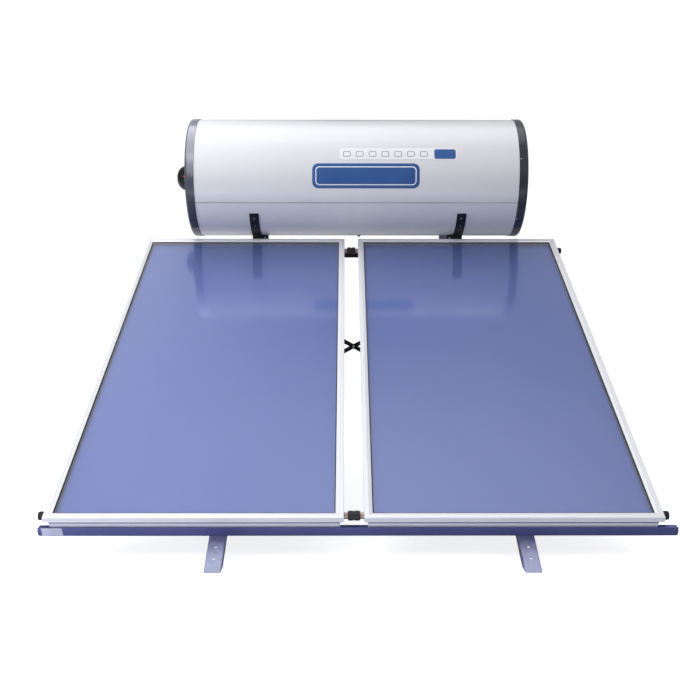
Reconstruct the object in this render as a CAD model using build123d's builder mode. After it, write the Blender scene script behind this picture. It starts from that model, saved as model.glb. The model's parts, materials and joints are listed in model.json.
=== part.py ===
from build123d import *
import os
from math import asin, cos, radians, sin, sqrt

os.makedirs("parts", exist_ok=True)

# ---------------------------------------------------------------- main sizes
tilt = 30.0
slope_origin_y = -1026.0
slope_origin_z = 156.0

collector_width = 1000.0
collector_length = 2000.0
collector_gap = 68.0
collector_pair_x = -15.0

tank_x = 10.0
tank_height_on_slope = 236.4
tank_along_slope = 2215.5
shell_radius = 292.5
tank_half_length = 834.0

rail_spacing = 1040.0

# ---------------------------------------------------------------- directions
across = Vector(1, 0, 0)
upslope = Vector(0, cos(radians(tilt)), sin(radians(tilt)))
outward = Vector(0, -sin(radians(tilt)), cos(radians(tilt)))
up = Vector(0, 0, 1)
back = Vector(0, 1, 0)
slope_origin = Vector(0, slope_origin_y, slope_origin_z)
slope = Plane(origin=slope_origin, x_dir=across, z_dir=outward)


def on_slope(x, s, n):
    return slope_origin + across * x + upslope * s + outward * n


tank_centre = on_slope(tank_x, tank_along_slope, tank_height_on_slope)
tank_axis = Axis(tank_centre, across)
tank_section = Plane(origin=tank_centre, x_dir=across, z_dir=-back)


def around_tank(t, angle, radius):
    a = radians(angle)
    return tank_centre + across * t + (back * cos(a) + up * sin(a)) * radius


def tank_radial(angle):
    a = radians(angle)
    return back * cos(a) + up * sin(a)


def hex_radius(across_flats):
    return across_flats / 2 / cos(radians(30))


def save(part, name):
    part.label = name
    export_step(part, f"parts/{name}.step")


# ---------------------------------------------------------------- collectors
case_inset = 13.0
case_bottom = -64.0
case_top = -12.2
case_wall = 1.6
case_flange_width = 40.0
back_sheet_inset = 33.0
back_sheet_thickness = 0.6
glass_inset = 20.0
glass_top = -7.6
glass_thickness = 3.2
header_radius = 11.0
header_bore = 10.0
header_height = -33.0
header_low = 45.0
header_high = 1932.0
riser_radius = 4.0
riser_bore = 3.4
riser_height = -26.0
riser_count = 9
riser_pitch = 104.0
absorber_inset = 30.0
absorber_thickness = 0.5
absorber_bottom = header_height + header_radius
grommet_bore = header_radius
header_stub = 24.0
flush_stub = 8.0
pipe_gap_half = 4.0
collector_bolt_inset = 26.0
collector_bolt_offset = 350.0

left_centre = collector_pair_x - (collector_width + collector_gap) / 2
right_centre = collector_pair_x + (collector_width + collector_gap) / 2
collectors = {"left": left_centre, "right": right_centre}

bezel_profile = [
    (0, -20), (0, -1.6), (1.6, 0), (16.4, 0), (18.2, -1.8), (19.2, -1.8),
    (27.4, -4.2), (28, -4.8), (28, -6.2), (17.6, -6.2), (17.6, -4.4), (15.6, -1.8),
    (13.0, -1.8), (13.0, -15), (11.4, -15), (11.4, -1.8), (1.8, -1.8), (1.8, -18.4),
    (4.2, -18.4), (4.2, -20),
]


def mitred_bar(start, inward, length):
    along = inward.cross(outward)
    with BuildPart() as bar:
        with BuildSketch(Plane(origin=start, x_dir=inward, z_dir=along)):
            with BuildLine():
                Polyline(*bezel_profile, close=True)
            make_face()
        extrude(amount=length / 2, both=True)
        for side in (-1, 1):
            mitre = (along * side + inward).normalized()
            corner = start + along * side * length / 2 - mitre * 0.1
            split(bisect_by=Plane(origin=corner, z_dir=mitre), keep=Keep.BOTTOM)
    return bar.part


for side, centre in collectors.items():
    half_w = collector_width / 2
    middle = collector_length / 2
    frame_plane = slope.offset(0)
    frame_plane.origin = on_slope(centre, middle, 0)

    # aluminium cover frame: four mitred extrusions
    low_bar = mitred_bar(on_slope(centre, 0, 0), upslope, collector_width)
    high_bar = mitred_bar(on_slope(centre, collector_length, 0), upslope * -1, collector_width)
    left_bar = mitred_bar(on_slope(centre - half_w, middle, 0), across, collector_length)
    right_bar = mitred_bar(on_slope(centre + half_w, middle, 0), across * -1, collector_length)
    with BuildPart() as bezel:
        add(low_bar)
        add(high_bar)
        add(left_bar)
        add(right_bar)
    save(bezel.part, f"collector_{side}_bezel")

    # collector case: bent frame with a glass seat on top and a flange below
    case_w = collector_width - 2 * case_inset
    case_l = collector_length - 2 * case_inset
    bolt_x = [-collector_bolt_offset, collector_bolt_offset]
    bolt_s = [collector_bolt_inset - middle, middle - collector_bolt_inset]
    with BuildPart() as case:
        with BuildSketch(frame_plane.offset(case_bottom)):
            Rectangle(case_w, case_l)
            Rectangle(case_w - 2 * case_wall, case_l - 2 * case_wall, mode=Mode.SUBTRACT)
        extrude(amount=case_top - case_bottom)
        with BuildSketch(frame_plane.offset(case_bottom)):
            Rectangle(case_w, case_l)
            Rectangle(collector_width - 2 * case_flange_width,
                      collector_length - 2 * case_flange_width, mode=Mode.SUBTRACT)
        extrude(amount=case_wall)
        with BuildSketch(frame_plane.offset(case_top)):
            Rectangle(case_w, case_l)
            Rectangle(collector_width - 62, collector_length - 62, mode=Mode.SUBTRACT)
        extrude(amount=-case_wall)
        with BuildSketch(frame_plane.offset(case_bottom)):
            with Locations(*[(x, s) for x in bolt_x for s in bolt_s]):
                Circle(3.3)
        extrude(amount=case_wall, mode=Mode.SUBTRACT)
        for s in (header_low, header_high):
            with BuildSketch(Plane(origin=on_slope(centre, s, header_height),
                                   x_dir=upslope, z_dir=across)):
                Circle(14)
            extrude(amount=collector_width, both=True, mode=Mode.SUBTRACT)
        for edge_side in (-1, 1):
            for height in (-26, -50):
                with BuildSketch(frame_plane.offset(height)):
                    with Locations((0, edge_side * case_l / 2)):
                        Rectangle(case_w, 0.8)
                extrude(amount=-2, mode=Mode.SUBTRACT)
    save(case.part, f"collector_{side}_case")

    with BuildPart() as absorber:
        with BuildSketch(frame_plane.offset(absorber_bottom)):
            Rectangle(collector_width - 2 * absorber_inset,
                      collector_length - 2 * absorber_inset)
        extrude(amount=absorber_thickness)
    save(absorber.part, f"collector_{side}_absorber")

    # waterway: two headers joined by risers, hollow throughout
    inner_end = half_w + collector_gap / 2 - pipe_gap_half
    low_outer = half_w + header_stub
    high_outer = half_w + (flush_stub if side == "left" else header_stub)
    if side == "left":
        header_ends = {header_low: (-low_outer, inner_end), header_high: (-high_outer, inner_end)}
    else:
        header_ends = {header_low: (-inner_end, low_outer), header_high: (-inner_end, high_outer)}
    with BuildPart() as tubes:
        for s, (start_x, end_x) in header_ends.items():
            with BuildSketch(Plane(origin=on_slope(centre + start_x, s, header_height),
                                   x_dir=upslope, z_dir=across)):
                Circle(header_radius)
            extrude(amount=end_x - start_x)
        with BuildSketch(Plane(origin=on_slope(centre, header_low, riser_height),
                               x_dir=across, z_dir=upslope)):
            with GridLocations(riser_pitch, 1, riser_count, 1):
                Circle(riser_radius)
        extrude(amount=header_high - header_low)
        for s, (start_x, end_x) in header_ends.items():
            with BuildSketch(Plane(origin=on_slope(centre + start_x, s, header_height),
                                   x_dir=upslope, z_dir=across)):
                Circle(header_bore)
            extrude(amount=end_x - start_x, mode=Mode.SUBTRACT)
        with BuildSketch(Plane(origin=on_slope(centre, header_low, riser_height),
                               x_dir=across, z_dir=upslope)):
            with GridLocations(riser_pitch, 1, riser_count, 1):
                Circle(riser_bore)
        extrude(amount=header_high - header_low, mode=Mode.SUBTRACT)
    save(tubes.part, f"collector_{side}_tubes")

    with BuildPart() as glass:
        with BuildSketch(frame_plane.offset(glass_top - glass_thickness)):
            RectangleRounded(collector_width - 2 * glass_inset,
                             collector_length - 2 * glass_inset, 2)
        extrude(amount=glass_thickness)
    save(glass.part, f"collector_{side}_glass")

    # rubber glazing gasket wrapped round the glass edge
    with BuildPart() as gasket:
        with BuildSketch(frame_plane.offset(case_top)):
            Rectangle(collector_width - 36, collector_length - 36)
        extrude(amount=6.0)
        with BuildSketch(frame_plane.offset(case_top)):
            Rectangle(collector_width - 63, collector_length - 63)
        extrude(amount=6.0, mode=Mode.SUBTRACT)
        with BuildSketch(frame_plane.offset(glass_top - glass_thickness)):
            RectangleRounded(collector_width - 2 * glass_inset,
                             collector_length - 2 * glass_inset, 2)
        extrude(amount=glass_thickness, mode=Mode.SUBTRACT)
    save(gasket.part, f"collector_{side}_gasket")

# thin back sheets and mineral wool slabs, one of each per collector
with BuildPart() as back_sheets:
    with BuildSketch(slope.offset(case_bottom + case_wall)):
        with Locations(*[(centre, collector_length / 2) for centre in collectors.values()]):
            Rectangle(collector_width - 2 * back_sheet_inset,
                      collector_length - 2 * back_sheet_inset)
    extrude(amount=back_sheet_thickness)
save(back_sheets.part, "collector_back_sheets")

with BuildPart() as insulation:
    with BuildSketch(slope.offset(case_bottom + case_wall + back_sheet_thickness)):
        with Locations(*[(centre, collector_length / 2) for centre in collectors.values()]):
            Rectangle(collector_width - 2 * back_sheet_inset - 1,
                      collector_length - 2 * back_sheet_inset - 1)
    extrude(amount=17.6)
save(insulation.part, "collector_insulation")

# rubber sealing rings where the headers leave the cases
wall_faces = [(centre + sign * (collector_width / 2 - case_inset), sign)
              for centre in collectors.values() for sign in (-1, 1)]
with BuildPart() as grommets:
    for wall_x, sign in wall_faces:
        for s in (header_low, header_high):
            ring_plane = Plane(origin=on_slope(wall_x, s, header_height),
                               x_dir=upslope, z_dir=across * sign)
            with BuildSketch(ring_plane):
                Circle(17)
                Circle(grommet_bore, mode=Mode.SUBTRACT)
            extrude(amount=2.5)
            with BuildSketch(ring_plane):
                Circle(14)
                Circle(grommet_bore, mode=Mode.SUBTRACT)
            extrude(amount=-case_wall)
            with BuildSketch(ring_plane.offset(-case_wall)):
                Circle(16)
                Circle(grommet_bore, mode=Mode.SUBTRACT)
            extrude(amount=-2.5)
save(grommets.part, "header_grommets")

# caps on the three unused header ends
cap_spots = [(left_centre - collector_width / 2, header_low, -1),
             (right_centre + collector_width / 2, header_low, 1),
             (right_centre + collector_width / 2, header_high, 1)]
with BuildPart() as end_caps:
    for edge_x, s, sign in cap_spots:
        tip = Plane(origin=on_slope(edge_x + sign * header_stub, s, header_height),
                    x_dir=upslope, z_dir=across * sign)
        with BuildSketch(tip.offset(3)):
            Circle(14.5)
        extrude(amount=-22)
        with BuildSketch(tip.offset(-4)):
            Circle(15.6)
        extrude(amount=-4)
        with BuildSketch(tip.offset(-13)):
            Circle(15.6)
        extrude(amount=-4)
        with BuildSketch(tip):
            Circle(header_radius)
        extrude(amount=-30, mode=Mode.SUBTRACT)
    rims = end_caps.edges().filter_by(GeomType.CIRCLE).filter_by(
        lambda edge: abs(edge.radius - 14.5) < 0.01)
    fillet(rims.group_by(Axis.X)[0] + rims.group_by(Axis.X)[-1], 2.0)
save(end_caps.part, "header_end_caps")

# compression couplings joining the two collectors
with BuildPart() as union_bodies:
    for s in (header_low, header_high):
        joint = Plane(origin=on_slope(collector_pair_x, s, header_height),
                      x_dir=upslope, z_dir=across)
        with BuildSketch(joint):
            Circle(13.2)
        extrude(amount=17, both=True)
        with BuildSketch(joint):
            RegularPolygon(hex_radius(27), 6)
        extrude(amount=2.4, both=True)
        with BuildSketch(joint):
            Circle(header_radius)
        extrude(amount=17, both=True, mode=Mode.SUBTRACT)
        with BuildSketch(joint):
            Circle(header_radius)
            Circle(header_bore, mode=Mode.SUBTRACT)
        extrude(amount=pipe_gap_half, both=True)
save(union_bodies.part, "union_bodies")

with BuildPart() as union_nuts:
    for s in (header_low, header_high):
        for sign in (-1, 1):
            seat = Plane(origin=on_slope(collector_pair_x + sign * 2.6, s, header_height),
                         x_dir=upslope, z_dir=across * sign)
            with BuildSketch(seat):
                RegularPolygon(hex_radius(30), 6)
            extrude(amount=16.4)
            with BuildSketch(seat):
                Circle(13.25)
            extrude(amount=14.4, mode=Mode.SUBTRACT)
            with BuildSketch(seat):
                Circle(header_radius + 0.05)
            extrude(amount=16.4, mode=Mode.SUBTRACT)
            with BuildSketch(seat.offset(16.4)):
                Circle(14.0)
                Circle(header_radius + 0.05, mode=Mode.SUBTRACT)
            extrude(amount=2.0)
save(union_nuts.part, "union_nuts")


# ---------------------------------------------------------------- storage tank
vessel_radius = 230.0
vessel_wall = 2.5
vessel_half_straight = 700.0
vessel_half_overall = 762.0
jacket_radius = 239.5
jacket_sheet = 1.5
jacket_half_length = 561.5
shell_sheet = 0.8
shell_half_length = 812.0
foam_half_length = 808.0
seam_angle = 210.0
cap_radius = 295.0
cap_skirt = 45.0
nipple_radius = 11.5
thread_radius = 10.48
thread_length = 26.0
nipple_bore = 8.0
nipple_reach = shell_radius + 35
relief_angle = -45.0
relief_distance = 170.0
drain_t = 15.0
neck_radius = 62.0
neck_bore = 57.0
flange_radius = 85.0
flange_face = 798.0
flange_ring = 8.0
flange_gasket_thickness = 3.0
flange_plate_thickness = 6.0
flange_bolt_circle = 72.0
flange_bolt_count = 8

nipple_spots = [(650, -35, vessel_radius), (-650, 35, vessel_radius),
                (-500, 35, jacket_radius), (420, -35, jacket_radius)]
relief_centre = around_tank(0, relief_angle, relief_distance)
screw_spots = [(-797, 184 + 60 * i) for i in range(6)] + [(797, 168 + 60 * i) for i in range(6)]


def radial_plane(t, angle, radius):
    return Plane(origin=around_tank(t, angle, radius), x_dir=across, z_dir=tank_radial(angle))


def left_end(distance):
    return Plane(origin=tank_centre - across * distance, x_dir=back * -1, z_dir=across * -1)


def right_end(distance):
    return Plane(origin=relief_centre + across * distance, x_dir=back, z_dir=across)


def tank_cylinder(radius, half_length):
    with BuildPart() as body:
        with BuildSketch(Plane(origin=tank_centre, x_dir=back, z_dir=across)):
            Circle(radius)
        extrude(amount=half_length, both=True)
    return body.part


def dished_vessel(radius, half_straight, half_overall):
    rise = half_overall - half_straight
    dish = (radius ** 2 + rise ** 2) / (2 * rise)
    half_angle = asin(radius / dish) / 2
    mid_t = half_overall - dish + dish * cos(half_angle)
    mid_r = dish * sin(half_angle)
    with BuildPart() as vessel:
        with BuildSketch(tank_section):
            with BuildLine():
                Line((-half_straight, radius), (half_straight, radius))
                ThreePointArc((half_straight, radius), (mid_t, mid_r), (half_overall, 0))
                Line((half_overall, 0), (-half_overall, 0))
                ThreePointArc((-half_overall, 0), (-mid_t, mid_r), (-half_straight, radius))
            make_face()
        revolve(axis=tank_axis)
    return vessel.part


vessel_outside = dished_vessel(vessel_radius, vessel_half_straight, vessel_half_overall)
vessel_inside = dished_vessel(vessel_radius - vessel_wall, vessel_half_straight,
                              vessel_half_overall - vessel_wall)

with BuildPart() as inner_tank:
    add(vessel_outside)
    with BuildSketch(left_end(745)):
        Circle(neck_radius)
    extrude(amount=flange_face - flange_ring - 745)
    add(vessel_inside, mode=Mode.SUBTRACT)
    with BuildSketch(left_end(748)):
        Circle(neck_radius)
    extrude(amount=flange_face - flange_ring - 748)
    with BuildSketch(left_end(flange_face)):
        Circle(flange_radius)
        with PolarLocations(flange_bolt_circle, flange_bolt_count):
            Circle(4.5, mode=Mode.SUBTRACT)
    extrude(amount=-flange_ring)
    with BuildSketch(left_end(flange_face)):
        Circle(neck_bore)
    extrude(amount=-70, mode=Mode.SUBTRACT)
    for t, angle, base in nipple_spots[:2]:
        with BuildSketch(radial_plane(t, angle, base - 20)):
            Circle(nipple_bore)
        extrude(amount=40, mode=Mode.SUBTRACT)
    with BuildSketch(right_end(680)):
        Circle(nipple_bore)
    extrude(amount=100, mode=Mode.SUBTRACT)
save(inner_tank.part, "inner_tank")

# annular heating jacket round the vessel
with BuildPart() as heating_jacket:
    with BuildSketch(tank_section):
        with Locations((0, (vessel_radius + jacket_radius) / 2)):
            Rectangle(2 * jacket_half_length, jacket_radius - vessel_radius)
        with Locations((0, (vessel_radius + jacket_radius - jacket_sheet) / 2)):
            Rectangle(2 * (jacket_half_length - jacket_sheet),
                      jacket_radius - jacket_sheet - vessel_radius, mode=Mode.SUBTRACT)
    revolve(axis=tank_axis)
    for t, angle, base in nipple_spots[2:]:
        with BuildSketch(radial_plane(t, angle, base - 5)):
            Circle(nipple_bore)
        extrude(amount=10, mode=Mode.SUBTRACT)
save(heating_jacket.part, "heating_jacket")

# threaded nipples welded to the vessel and the jacket
nipples = []
for t, angle, base in nipple_spots:
    with BuildPart() as nipple:
        with BuildSketch(radial_plane(t, angle, base - 6)):
            Circle(nipple_radius)
        extrude(amount=nipple_reach - thread_length - base + 6)
        add(tank_cylinder(base, vessel_half_overall), mode=Mode.SUBTRACT)
        with BuildSketch(radial_plane(t, angle, nipple_reach - thread_length)):
            Circle(thread_radius)
        extrude(amount=thread_length)
        thread_rim = nipple.edges().filter_by(GeomType.CIRCLE).filter_by(
            lambda edge: abs(edge.radius - thread_radius) < 0.01).sort_by(
            lambda edge: -(edge.center() - tank_centre).length)[0]
        chamfer(thread_rim, 1.0)
        with BuildSketch(radial_plane(t, angle, base - 6)):
            Circle(nipple_bore)
        extrude(amount=nipple_reach - base + 6, mode=Mode.SUBTRACT)
    nipples.append(nipple.part)
with BuildPart() as relief_nipple:
    with BuildSketch(right_end(690)):
        Circle(nipple_radius)
    extrude(amount=834 - 690)
    add(vessel_outside, mode=Mode.SUBTRACT)
    with BuildSketch(right_end(834)):
        Circle(thread_radius)
    extrude(amount=14)
    with BuildSketch(right_end(690)):
        Circle(nipple_bore)
    extrude(amount=848 - 690, mode=Mode.SUBTRACT)
nipples.append(relief_nipple.part)
with BuildPart() as tank_nipples:
    for nipple_part in nipples:
        add(nipple_part)
save(tank_nipples.part, "tank_nipples")

# foam filling between vessel and shell
with BuildPart() as tank_insulation:
    add(tank_cylinder(shell_radius - shell_sheet, foam_half_length))
    add(vessel_outside, mode=Mode.SUBTRACT)
    add(tank_cylinder(jacket_radius, jacket_half_length), mode=Mode.SUBTRACT)
    with BuildSketch(left_end(foam_half_length)):
        Circle(flange_radius + 6)
    extrude(amount=-70, mode=Mode.SUBTRACT)
    for t, angle, base in nipple_spots:
        with BuildSketch(radial_plane(t, angle, base - 6)):
            Circle(nipple_radius)
        extrude(amount=80, mode=Mode.SUBTRACT)
    with BuildSketch(right_end(690)):
        Circle(nipple_radius)
    extrude(amount=200, mode=Mode.SUBTRACT)
    with BuildSketch(radial_plane(drain_t, -90, shell_radius - 20)):
        Circle(6)
    extrude(amount=30, mode=Mode.SUBTRACT)
    for t, angle in screw_spots:
        with BuildSketch(radial_plane(t, angle, cap_radius)):
            Circle(1.9)
        extrude(amount=-9, mode=Mode.SUBTRACT)
save(tank_insulation.part, "tank_insulation")

# painted outer shell with its lock seam
with BuildPart() as tank_shell:
    with BuildSketch(radial_plane(0, seam_angle, shell_radius - 0.5)):
        RectangleRounded(2 * (tank_half_length - cap_skirt) - 4, 7, 1)
    extrude(amount=1.2)
    with BuildSketch(Plane(origin=tank_centre, x_dir=back, z_dir=across)):
        Circle(shell_radius)
    extrude(amount=shell_half_length, both=True)
    add(tank_cylinder(shell_radius - shell_sheet, shell_half_length), mode=Mode.SUBTRACT)
    for t, angle, base in nipple_spots:
        with BuildSketch(radial_plane(t, angle, shell_radius - 20)):
            Circle(nipple_radius)
        extrude(amount=40, mode=Mode.SUBTRACT)
    with BuildSketch(radial_plane(drain_t, -90, shell_radius - 20)):
        Circle(6)
    extrude(amount=40, mode=Mode.SUBTRACT)
    for t, angle in screw_spots:
        with BuildSketch(radial_plane(t, angle, cap_radius)):
            Circle(1.9)
        extrude(amount=-9, mode=Mode.SUBTRACT)
save(tank_shell.part, "tank_shell")

# moulded end caps
for side, sign in (("left", -1), ("right", 1)):
    rim_t = tank_half_length
    with BuildPart() as end_cap:
        with BuildSketch(tank_section):
            with BuildLine():
                Polyline((sign * (rim_t - cap_skirt), 295), (sign * (rim_t - 14), 295))
                ThreePointArc((sign * (rim_t - 14), 295), (sign * (rim_t - 4.1), 290.9),
                              (sign * rim_t, 281))
                Polyline((sign * rim_t, 281), (sign * rim_t, 266), (sign * (rim_t - 6), 256),
                         (sign * (rim_t - 6), 0), (sign * (rim_t - 8.5), 0),
                         (sign * (rim_t - 8.5), 257), (sign * (rim_t - 2.5), 267),
                         (sign * (rim_t - 2.5), 281))
                ThreePointArc((sign * (rim_t - 2.5), 281), (sign * (rim_t - 5.87), 289.13),
                              (sign * (rim_t - 14), 292.5))
                Polyline((sign * (rim_t - 14), 292.5), (sign * (rim_t - cap_skirt), 292.5),
                         (sign * (rim_t - cap_skirt), 295))
            make_face()
        revolve(axis=tank_axis)
        with BuildSketch(tank_section):
            with Locations((sign * (rim_t - 5.5), 212), (sign * (rim_t - 5.5), 118)):
                Rectangle(1.6, 6)
        revolve(axis=tank_axis)
        for t, angle in screw_spots:
            with BuildSketch(radial_plane(t, angle, cap_radius + 5)):
                Circle(1.9)
            extrude(amount=-14, mode=Mode.SUBTRACT)
        if side == "left":
            with BuildSketch(left_end(rim_t - 8.5)):
                Circle(80)
            extrude(amount=8.5)
            with BuildSketch(left_end(rim_t)):
                Circle(56)
            extrude(amount=-20, mode=Mode.SUBTRACT)
        else:
            with BuildSketch(right_end(rim_t + 5)):
                Circle(17)
            extrude(amount=-20, mode=Mode.SUBTRACT)
    save(end_cap.part, f"end_cap_{side}")

with BuildPart() as cap_screws:
    for t, angle in screw_spots:
        head = radial_plane(t, angle, cap_radius)
        with BuildSketch(head):
            Circle(4.5)
        extrude(amount=2.2, taper=18)
        with BuildSketch(head.offset(2.2)):
            Rectangle(4.4, 1.0)
            Rectangle(1.0, 4.4)
        extrude(amount=-1.0, mode=Mode.SUBTRACT)
        with BuildSketch(head):
            Circle(1.9)
        extrude(amount=-9)
save(cap_screws.part, "cap_screws")

# rubber rings round the nipples
with BuildPart() as rosettes:
    for t, angle, base in nipple_spots:
        with BuildSketch(radial_plane(t, angle, shell_radius - 10)):
            Circle(19)
            Circle(nipple_radius, mode=Mode.SUBTRACT)
        extrude(amount=14)
    add(tank_cylinder(shell_radius, shell_half_length), mode=Mode.SUBTRACT)
    with BuildSketch(right_end(tank_half_length - 6)):
        Circle(22)
        Circle(nipple_radius, mode=Mode.SUBTRACT)
    extrude(amount=3)
save(rosettes.part, "port_rosettes")

with BuildPart() as drain_plug:
    with BuildSketch(radial_plane(drain_t, -90, shell_radius)):
        Circle(9)
    extrude(amount=2.5)
    with BuildSketch(radial_plane(drain_t, -90, shell_radius + 2.5)):
        RegularPolygon(hex_radius(10), 6)
    extrude(amount=3.5)
    with BuildSketch(radial_plane(drain_t, -90, shell_radius)):
        Circle(6)
    extrude(amount=-14)
save(drain_plug.part, "drain_plug")

# ---------------------------------------------------------------- heater flange
plate_inner = flange_face + flange_gasket_thickness
plate_outer = plate_inner + flange_plate_thickness
element_x = -22.0
element_y = 14.0
element_radius = 4.0
element_depth = 420.0
anode_x = -44.0
pocket_x = 14.0

with BuildPart() as flange_gasket:
    with BuildSketch(left_end(flange_face)):
        Circle(flange_radius)
        Circle(neck_bore, mode=Mode.SUBTRACT)
        with PolarLocations(flange_bolt_circle, flange_bolt_count):
            Circle(4.5, mode=Mode.SUBTRACT)
    extrude(amount=flange_gasket_thickness)
save(flange_gasket.part, "flange_gasket")

with BuildPart() as heater_flange:
    with BuildSketch(left_end(plate_inner)):
        Circle(flange_radius)
        with PolarLocations(flange_bolt_circle, flange_bolt_count):
            Circle(4.5, mode=Mode.SUBTRACT)
        with Locations((element_x, element_y), (element_x, -element_y)):
            Circle(element_radius, mode=Mode.SUBTRACT)
        with Locations((anode_x, 0)):
            Circle(5, mode=Mode.SUBTRACT)
    extrude(amount=flange_plate_thickness)
    with BuildSketch(left_end(plate_inner)):
        with Locations((pocket_x, 0)):
            Circle(6)
    extrude(amount=-250)
    with BuildSketch(left_end(plate_outer)):
        with Locations((pocket_x, 0)):
            Circle(5)
    extrude(amount=-250, mode=Mode.SUBTRACT)
save(heater_flange.part, "heater_flange")

with BuildPart() as flange_bolts:
    for spot in PolarLocations(flange_bolt_circle, flange_bolt_count):
        seat = left_end(plate_outer) * spot
        bolt_plane = Plane(seat)
        with BuildSketch(bolt_plane):
            RegularPolygon(hex_radius(13), 6)
        extrude(amount=5.3)
        with BuildSketch(bolt_plane):
            Circle(4)
        extrude(amount=-27)
        with BuildSketch(bolt_plane.offset(-17)):
            RegularPolygon(hex_radius(13), 6)
            Circle(4.05, mode=Mode.SUBTRACT)
        extrude(amount=-6.5)
save(flange_bolts.part, "flange_bolts")

element_plane = Plane(origin=tank_centre - back * element_x, x_dir=across, z_dir=-back)
with BuildPart() as heater_element:
    with BuildLine(element_plane) as element_path:
        Line((-plate_outer - 11, element_y), (-element_depth, element_y))
        RadiusArc((-element_depth, element_y), (-element_depth, -element_y), element_y)
        Line((-element_depth, -element_y), (-plate_outer - 11, -element_y))
    with BuildSketch(Plane(origin=element_path.line @ 0, z_dir=across)):
        Circle(element_radius)
    sweep()
save(heater_element.part, "heater_element")

with BuildPart() as anode_rod:
    with BuildSketch(left_end(plate_inner)):
        with Locations((anode_x, 0)):
            Circle(11)
    extrude(amount=-360)
    with BuildSketch(left_end(plate_inner)):
        with Locations((anode_x, 0)):
            Circle(5)
    extrude(amount=flange_plate_thickness + 10)
    with BuildSketch(left_end(plate_outer)):
        with Locations((anode_x, 0)):
            RegularPolygon(hex_radius(15), 6)
    extrude(amount=6)
save(anode_rod.part, "anode_rod")

body_depth = 38.0
with BuildPart() as thermostat_body:
    with BuildSketch(left_end(plate_outer)):
        with Locations((pocket_x, 0)):
            RectangleRounded(42, 64, 4)
    extrude(amount=body_depth)
    fillet(thermostat_body.faces().sort_by(Axis.X)[0].edges(), 2)
    with BuildSketch(left_end(plate_outer)):
        with Locations((pocket_x, 0)):
            Circle(4.8)
    extrude(amount=-200)
    with BuildSketch(left_end(plate_outer + body_depth)):
        with Locations((pocket_x, 0)):
            Circle(3.05)
    extrude(amount=-9, mode=Mode.SUBTRACT)
    with BuildSketch(left_end(plate_outer + body_depth)):
        with Locations((pocket_x - 14, 24), (pocket_x - 5, 24), (pocket_x + 5, 24)):
            Circle(1.6)
    extrude(amount=-4, mode=Mode.SUBTRACT)
save(thermostat_body.part, "thermostat_body")

with BuildPart() as thermostat_knob:
    with BuildSketch(left_end(plate_outer + body_depth + 0.5)):
        with Locations((pocket_x, 0)):
            Circle(15)
            with PolarLocations(15.6, 16):
                Circle(1.6, mode=Mode.SUBTRACT)
    extrude(amount=11)
    with BuildSketch(left_end(plate_outer + body_depth + 11.5)):
        with Locations((pocket_x, 5)):
            Rectangle(2, 9)
    extrude(amount=1.5)
    with BuildSketch(left_end(plate_outer + body_depth + 0.5)):
        with Locations((pocket_x, 0)):
            Circle(3.0)
    extrude(amount=-8.5)
save(thermostat_knob.part, "thermostat_knob")

# domed cover over the thermostat
cover_base = tank_half_length
cover_height = 84.0
cover_wall = 2.5


def cover_form(inset):
    with BuildPart() as form:
        with BuildSketch(tank_section):
            with BuildLine():
                Polyline((-cover_base, 0), (-cover_base, 66 - inset),
                         (-cover_base - 30, 64.5 - inset))
                Spline((-cover_base - 30, 64.5 - inset), (-cover_base - 66, 50 - inset * 0.8),
                       (-cover_base - cover_height + inset, 0),
                       tangents=((-1, -0.06), (0, -1)))
                Line((-cover_base - cover_height + inset, 0), (-cover_base, 0))
            make_face()
        revolve(axis=tank_axis)
    return form.part


lamp_t = -cover_base - 40
gland_t = -cover_base - 24
with BuildPart() as thermostat_cover:
    add(cover_form(0))
    with BuildSketch(left_end(cover_base)):
        Circle(70)
        Circle(64, mode=Mode.SUBTRACT)
    extrude(amount=4)
    add(cover_form(cover_wall), mode=Mode.SUBTRACT)
    with BuildSketch(radial_plane(lamp_t, 180, 40)):
        Circle(6)
    extrude(amount=40, mode=Mode.SUBTRACT)
    with BuildSketch(radial_plane(gland_t, 0, 40)):
        Circle(8)
    extrude(amount=40, mode=Mode.SUBTRACT)
save(thermostat_cover.part, "thermostat_cover")

with BuildPart() as pilot_lamp:
    with BuildSketch(radial_plane(lamp_t, 180, 54)):
        Circle(6)
    extrude(amount=12)
    fillet(pilot_lamp.edges().filter_by(GeomType.CIRCLE).sort_by(Axis.Y)[0], 3)
save(pilot_lamp.part, "pilot_lamp")

with BuildPart() as cable_gland:
    with BuildSketch(radial_plane(gland_t, 0, 60)):
        RegularPolygon(hex_radius(22), 6)
    extrude(amount=12)
    add(cover_form(0), mode=Mode.SUBTRACT)
    with BuildSketch(radial_plane(gland_t, 0, 58)):
        Circle(8)
    extrude(amount=20)
    with BuildSketch(radial_plane(gland_t, 0, 78)):
        Circle(9.5)
    extrude(amount=8, taper=12)
    with BuildSketch(radial_plane(gland_t, 0, 58)):
        Circle(4)
    extrude(amount=30, mode=Mode.SUBTRACT)
save(cable_gland.part, "cable_gland")

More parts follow.
